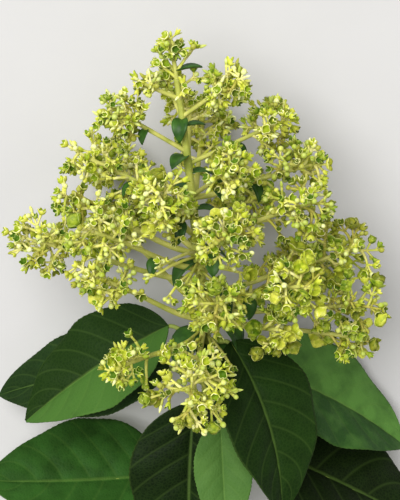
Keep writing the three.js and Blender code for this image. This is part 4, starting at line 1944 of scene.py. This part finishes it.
@dataclass
class LeafPiece:
    """A large leaf's toothed blade, with sunken veins between raised cushions."""

    growth: Growth
    leaf: PlacedLeaf
    columns: int = 34
    rows: int = 96
    thickness: float = 0.5
    # The relief of a blade of this width. A wider one has as much more.
    relief_width: float = 50.0
    cushion: float = 0.42
    cushion_spread: float = 1.15
    groove: float = 0.22
    groove_width: float = 0.12
    midrib_depth: float = 0.5
    midrib_width: float = 0.05
    # The relief is full from 1/6 of the blade on, and until 1/5 before its tip.
    rise_at_base: float = 6.0
    rise_at_tip: float = 5.0
    teeth: int = 34
    tooth: float = 0.45
    # The teeth are full from 1/8 of the blade on, and show at its very edge only.
    first_teeth: float = 8.0
    edge_only: int = 6
    # The margin waves up and down, one side out of step with the other.
    wave_height: float = 1.1
    waves: float = 3.1
    wave_offset: float = 0.35
    wave_spread: float = 2.5
    under_colours: tuple[str, str] = ("#7E9656", "#6C8648")
    # The frames along the midrib, one for each row, laid out before the blade is built.
    frames: list[LeafFrame] = field(default_factory=list)

    def frame_at(self, t: float) -> LeafFrame:
        """Finds the midrib's frame at a place, smooth between the source's steps.

        Args:
            t: The share of the blade's length.

        Returns:
            The frame.
        """
        lines = zip(*((frame.point, frame.normal, frame.across) for frame in self.leaf.frames))
        point, normal, across = (smooth_curve(line)(t) for line in lines)
        normal = unit(normal)
        return LeafFrame(point, normal, unit(across - normal * float(across @ normal)))

    def relief(self, s: float, t: float) -> float:
        """Finds how far the upper skin stands out: in cushions, and sunk at each vein between.

        Args:
            s: The place across, from -1 to 1.
            t: The place along, from 0 to 1.

        Returns:
            The height, for a blade of the relief's own width.
        """
        phase = VeinRule().phase(s, t)
        to_vein = 0.5 - abs(phase - 0.5)
        fade = (1 - abs(s) ** 3) * min(1.0, self.rise_at_base * t) * min(1.0, self.rise_at_tip * (1 - t))
        bulge = math.sin(math.pi * min(abs(s) * self.cushion_spread, 1.0)) * math.sin(math.pi * phase)
        vein = self.groove * math.exp(-((to_vein / self.groove_width) ** 2))
        midrib = self.midrib_depth * math.exp(-((s / self.midrib_width) ** 2))
        return (self.cushion * bulge - vein) * fade - midrib * min(1.0, self.rise_at_base * (1 - t))

    def blade_point(self, s: float, t: float) -> Array:
        """Finds a point of the blade.

        Args:
            s: Its place across, from -1 to 1.
            t: Its place along, from 0 to 1.

        Returns:
            The point, in the source's millimetres.
        """
        rule = self.growth.blade
        plan = self.leaf.plan
        width = plan.blade[1]
        frame = self.frames[round(t * self.rows)]
        tooth = self.tooth * ((t * self.teeth) % 1.0 - 0.5) / (width / 2)
        toothed = 1 + tooth * min(1.0, self.first_teeth * t) * abs(s) ** self.edge_only
        across = s * width * rule.outline(t) / 2 * toothed
        wave = self.wave_height * plan.wave * abs(s) ** self.wave_spread * rule.outline(t)
        waves = self.waves * t + (self.wave_offset if s > 0 else 0.0)
        ripple = wave * math.sin(math.tau * waves + plan.at[0])
        rise = rule.fold_at(across, width) + self.relief(s, t) * width / self.relief_width + ripple
        return frame.point + frame.across * across + frame.normal * rise

    def build(self) -> Object:
        """Builds the blade.

        Returns:
            The piece.
        """
        self.frames = [self.frame_at(i / self.rows) for i in range(self.rows + 1)]
        bm = bmesh.new()
        bmesh.ops.create_grid(bm, x_segments=self.columns, y_segments=self.rows, size=1.0)
        layer = bm.loops.layers.uv.new("blade")
        for face in bm.faces:
            for loop in face.loops:
                loop[layer].uv = ((loop.vert.co.x + 1) / 2, (loop.vert.co.y + 1) / 2)
        for vertex in bm.verts:
            vertex.co = Vector(self.blade_point(vertex.co.x, (vertex.co.y + 1) / 2))
        bm.normal_update()
        facing = sum(f.normal.dot(Vector(self.frames[self.rows // 2].normal)) for f in bm.faces)
        if facing < 0:
            bmesh.ops.reverse_faces(bm, faces=bm.faces)
        plan = self.leaf.plan
        name = f"{plan.name}_blade"
        mesh = mesh_from(bm, name)
        # A leaf's upper skin is waxed but uneven, so it has a broad, weak shine along its cushions.
        upper = LeafSkin(f"{plan.name}_upper_skin", plan.shade, plan.second, half=plan.half)
        # Its under skin is downy: paler, greyer and dull.
        lower = Finish(f"{plan.name}_under_skin", *self.under_colours, 0.6, patch_size=9.0)
        piece = finish_object(name, mesh, [upper.material(), lower.material()])
        wall = piece.modifiers.new("blade", "SOLIDIFY")
        wall.thickness = self.thickness * METRES
        wall.offset = -1.0
        wall.material_offset = 1
        wall.material_offset_rim = 0
        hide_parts(plan.name)
        return piece


@dataclass
class StalkPiece:
    """The stalks of the large leaves, each running on under its blade as the midrib."""

    growth: Growth
    # A leaf stalk's skin: as green bark, a little darker, and grooved along its length.
    finish: Finish = GreenBark("leaf_stalk_skin", "#8D9A48", "#748638")
    # It starts this share of the way from the stem's axis to its skin.
    root: float = 0.4
    # It is a little thicker than the solid one at its foot and at the blade, and thins out to its end.
    foot_full: float = 1.1
    neck_full: float = 1.15
    end_radius: float = 0.25
    # Its middle line under the blade is this far from the blade's upper skin.
    under: float = 1.45

    def limb(self, leaf: PlacedLeaf) -> Limb:
        """Lays out the stalk of a leaf.

        Args:
            leaf: The leaf.

        Returns:
            The stalk, from inside the stem to near the blade's tip.
        """
        rule = self.growth.blade
        axis = self.growth.stem.point(leaf.plan.at[0])
        ribs = [frame.point - frame.normal * self.under for frame in leaf.frames[:-1]]
        points = [mix(axis, leaf.start, self.root), leaf.start, mix(leaf.start, ribs[0], 0.5), *ribs]
        # The blade begins half a stretch before the first point under it, the fourth.
        bare = 2.5 / (len(points) - 1)
        foot, neck = rule.stalk_foot * self.foot_full, rule.stalk_tip * self.neck_full

        def radius(t: float) -> float:
            """Finds the stalk's radius.

            Args:
                t: The share of the way along it.

            Returns:
                The radius.
            """
            if t < bare:
                return mix(foot, neck, t / bare)
            return mix(neck, self.end_radius, (t - bare) / (1 - bare))

        return Limb(smooth_curve(points), radius, sides=10, steps=44, ribs=3, rib_depth=0.08, seed=SEED)

    def build(self) -> Object:
        """Builds all leaf stalks as one piece.

        Returns:
            The piece.
        """
        joined = JoinedMesh()
        for leaf in self.growth.leaves:
            self.limb(leaf).add_to(joined)
        return finish_object("leaf_stalks", joined.mesh("leaf_stalks"), [self.finish.material()])


@dataclass
class BractPiece:
    """The small dark leaves at the nodes of the stem and out on the boughs."""

    growth: Growth
    # The height, the bearing, the length and the droop.
    on_stem: tuple[tuple[float, float, float, float], ...] = (
        (104, 85, 10, 10),
        (85, 348, 9, 80),
        (82, 95, 8, 15),
        (63, 106, 9, 25),
        (48, 92, 10, 30),
        (44, 262, 10, 40),
        (31, 100, 11, 35),
        (22, 230, 12, 45),
        (70, 325, 10, 35),
        (57, 255, 12, 40),
        (40, 55, 12, 60),
        (26, 300, 13, 55),
        (15, 60, 15, 50),
        (4, 62, 21, 62),
        (-3, 318, 20, 70),
        (-9, 25, 26, 84),
        (-18, 70, 24, 50),
    )
    # The branch, the share of its bough's length, the droop and the length of the leaf there.
    on_boughs: tuple[tuple[str, float, float, float], ...] = (
        ("upper_right", 0.75, 40, 7),
        ("upper_left", 0.8, 60, 6),
        ("shoulder_front", 0.85, 35, 9),
        ("shoulder_left", 0.72, 30, 8),
        ("shoulder_right", 0.7, 50, 8),
        ("middle_front", 0.55, 60, 9),
        ("middle_left", 0.7, 40, 8),
        ("waist_front", 0.6, 50, 10),
        ("waist_right", 0.6, 40, 9),
        ("waist_left", 0.5, 45, 8),
        ("skirt_front", 0.55, 60, 9),
        ("foot_right", 0.6, 40, 8),
        ("skirt_left", 0.75, 30, 7),
    )
    rise: float = 20.0
    # A leaf on a bough sets off partly along it, and is drawn up from the table and down the stem.
    along_bough: float = 0.7
    drawn: Triple = (0.0, -0.35, 0.5)
    # The outline follows this stretch of a half sine wave. Its greatest width is a share of the length.
    width_share: float = 0.72
    outline: Pair = (0.08, 0.985)
    fullness: float = 0.85
    least_width: float = 0.05
    # The sides curl up, and the midrib is sunk.
    curl: float = 0.3
    curl_spread: float = 1.5
    midrib_depth: float = 0.021
    midrib_width: float = 0.18
    columns: int = 6
    rows: int = 10
    thickness: float = 0.35
    # The skin of a leaf just open: dark, and smoother than a large leaf's.
    finish: Finish = Finish("small_leaf_skin", "#28481A", "#3A6022", 0.4, patch_size=4.0)

    def add_leaf(
        self, bm: BMesh, base: Array, out: Array, length: float, droop: float, lift: float
    ) -> None:
        """Adds one small leaf to a bmesh.

        Args:
            bm: The bmesh.
            base: The limb's point that it grows from.
            out: The direction that it sets off in.
            length: Its length.
            droop: How far it has bent over at its tip.
            lift: How far from the point it starts.
        """
        hinge = unit(np.cross(out, Y_AXIS))
        made = bmesh.ops.create_grid(bm, x_segments=self.columns, y_segments=self.rows, size=1.0)
        for vertex in made["verts"]:
            u, t = vertex.co.x, (vertex.co.y + 1) / 2
            along = rotated(out, hinge, -math.radians(droop) * t)
            normal = np.cross(hinge, along)
            across = np.cross(normal, along)
            width = max(self.least_width, math.sin(math.pi * mix(*self.outline, t)) ** self.fullness)
            half = length * self.width_share * width / 2
            sunk = self.midrib_depth * length * math.exp(-((u / self.midrib_width) ** 2))
            rise = self.curl * abs(u) ** self.curl_spread * half - sunk
            vertex.co = Vector(base + along * (t * length + lift) + across * u * half + normal * rise)

    def build(self) -> Object:
        """Builds all small leaves as one piece.

        Returns:
            The piece.
        """
        bm = bmesh.new()
        stem = self.growth.stem
        for height, bearing, length, droop in self.on_stem:
            out = outward(bearing, self.rise)
            self.add_leaf(bm, stem.point(height), out, length, droop, stem.radius(height) / 2)
        by_name = {c.name: c for c in self.growth.clusters}
        for name, share, droop, length in self.on_boughs:
            cluster = by_name[name]
            base = self.growth.bough_curve(cluster)(share)
            out = unit(cluster.direction * self.along_bough + np.array(self.drawn))
            self.add_leaf(bm, base, out, length, droop, self.growth.limb.bough_tip / 2)
        piece = finish_object("bracts", mesh_from(bm, "bracts"), [self.finish.material()])
        wall = piece.modifiers.new("blade", "SOLIDIFY")
        wall.thickness = self.thickness * METRES
        wall.offset = 0.0
        return piece


@dataclass(frozen=True)
class Studio:
    """A plain pale floor, soft light from the upper left, and the photograph's camera."""

    # Half the floor's side, in metres as the light's place and size are.
    floor_reach: float = 3.0
    # Matt paper: even, with hardly any gloss, so the shadows on it stay soft.
    floor_finish: Finish = Finish("matt_paper", "#C2C1C0", "#BFBEBD", 0.9, patch_size=60.0)
    target: Triple = (-1.6, 31.5, 58.0)
    camera_tilt: float = 18.0
    camera_distance: float = 620.0
    sensor: float = 36.0
    photo_height: float = 200.0
    clip: Pair = (0.05, 20.0)
    key_power: float = 80.0
    key_size: float = 1.8
    key_place: Triple = (-0.6, 1.1, 2.1)
    world_colour: str = "#F5F4F2"
    world_strength: float = 0.56

    def build(self) -> None:
        """Builds the floor, the lights and the camera."""
        bm = bmesh.new()
        bmesh.ops.create_grid(bm, x_segments=1, y_segments=1, size=self.floor_reach)
        mesh = bpy.data.meshes.new("floor")
        bm.to_mesh(mesh)
        bm.free()
        floor = bpy.data.objects.new("floor", mesh)
        bpy.context.scene.collection.objects.link(floor)
        mesh.materials.append(self.floor_finish.material())
        self.light()
        self.camera()

    def light(self) -> None:
        """Adds the key light and the even light all round."""
        middle = Vector(to_frame(np.array(self.target)))
        data = bpy.data.lights.new("key", "AREA")
        data.shape = "DISK"
        data.size = self.key_size
        data.energy = self.key_power
        key = bpy.data.objects.new("key", data)
        key.location = self.key_place
        key.rotation_euler = (middle - key.location).to_track_quat("-Z", "Y").to_euler()
        bpy.context.scene.collection.objects.link(key)
        world = bpy.data.worlds.new("studio")
        world.use_nodes = True
        background = world.node_tree.nodes["Background"]
        background.inputs["Color"].default_value = linear(self.world_colour)
        background.inputs["Strength"].default_value = self.world_strength
        bpy.context.scene.world = world
        bpy.context.scene.view_settings.view_transform = "Standard"

    def camera(self) -> None:
        """Adds the camera. Its sensor's long side takes in the photograph's height."""
        data = bpy.data.cameras.new("camera")
        data.sensor_width = self.sensor
        data.lens = self.sensor * self.camera_distance / self.photo_height
        data.clip_start, data.clip_end = self.clip
        camera = bpy.data.objects.new("camera", data)
        turn = Matrix.Rotation(-math.radians(self.camera_tilt), 4, "X")
        back = turn @ Vector((0.0, 0.0, self.camera_distance * METRES))
        target = Vector(to_frame(np.array(self.target)))
        camera.matrix_world = Matrix.Translation(target + back) @ turn
        bpy.context.scene.collection.objects.link(camera)
        bpy.context.scene.camera = camera


def write_sizes() -> None:
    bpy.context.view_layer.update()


def main() -> None:
    """Builds the plant's pieces in order, then the studio round them."""
    logging.basicConfig(level=logging.INFO, format="%(name)s: %(message)s")
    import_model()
    growth = Growth()
    StemPiece(growth).build()
    BoughPiece(growth).build()
    head = FlowerHead(growth)
    head.grow()
    head.build()
    for leaf in growth.leaves:
        LeafPiece(growth, leaf).build()
    StalkPiece(growth).build()
    BractPiece(growth).build()
    Studio().build()
    write_sizes()


if __name__ == "__main__":
    main()
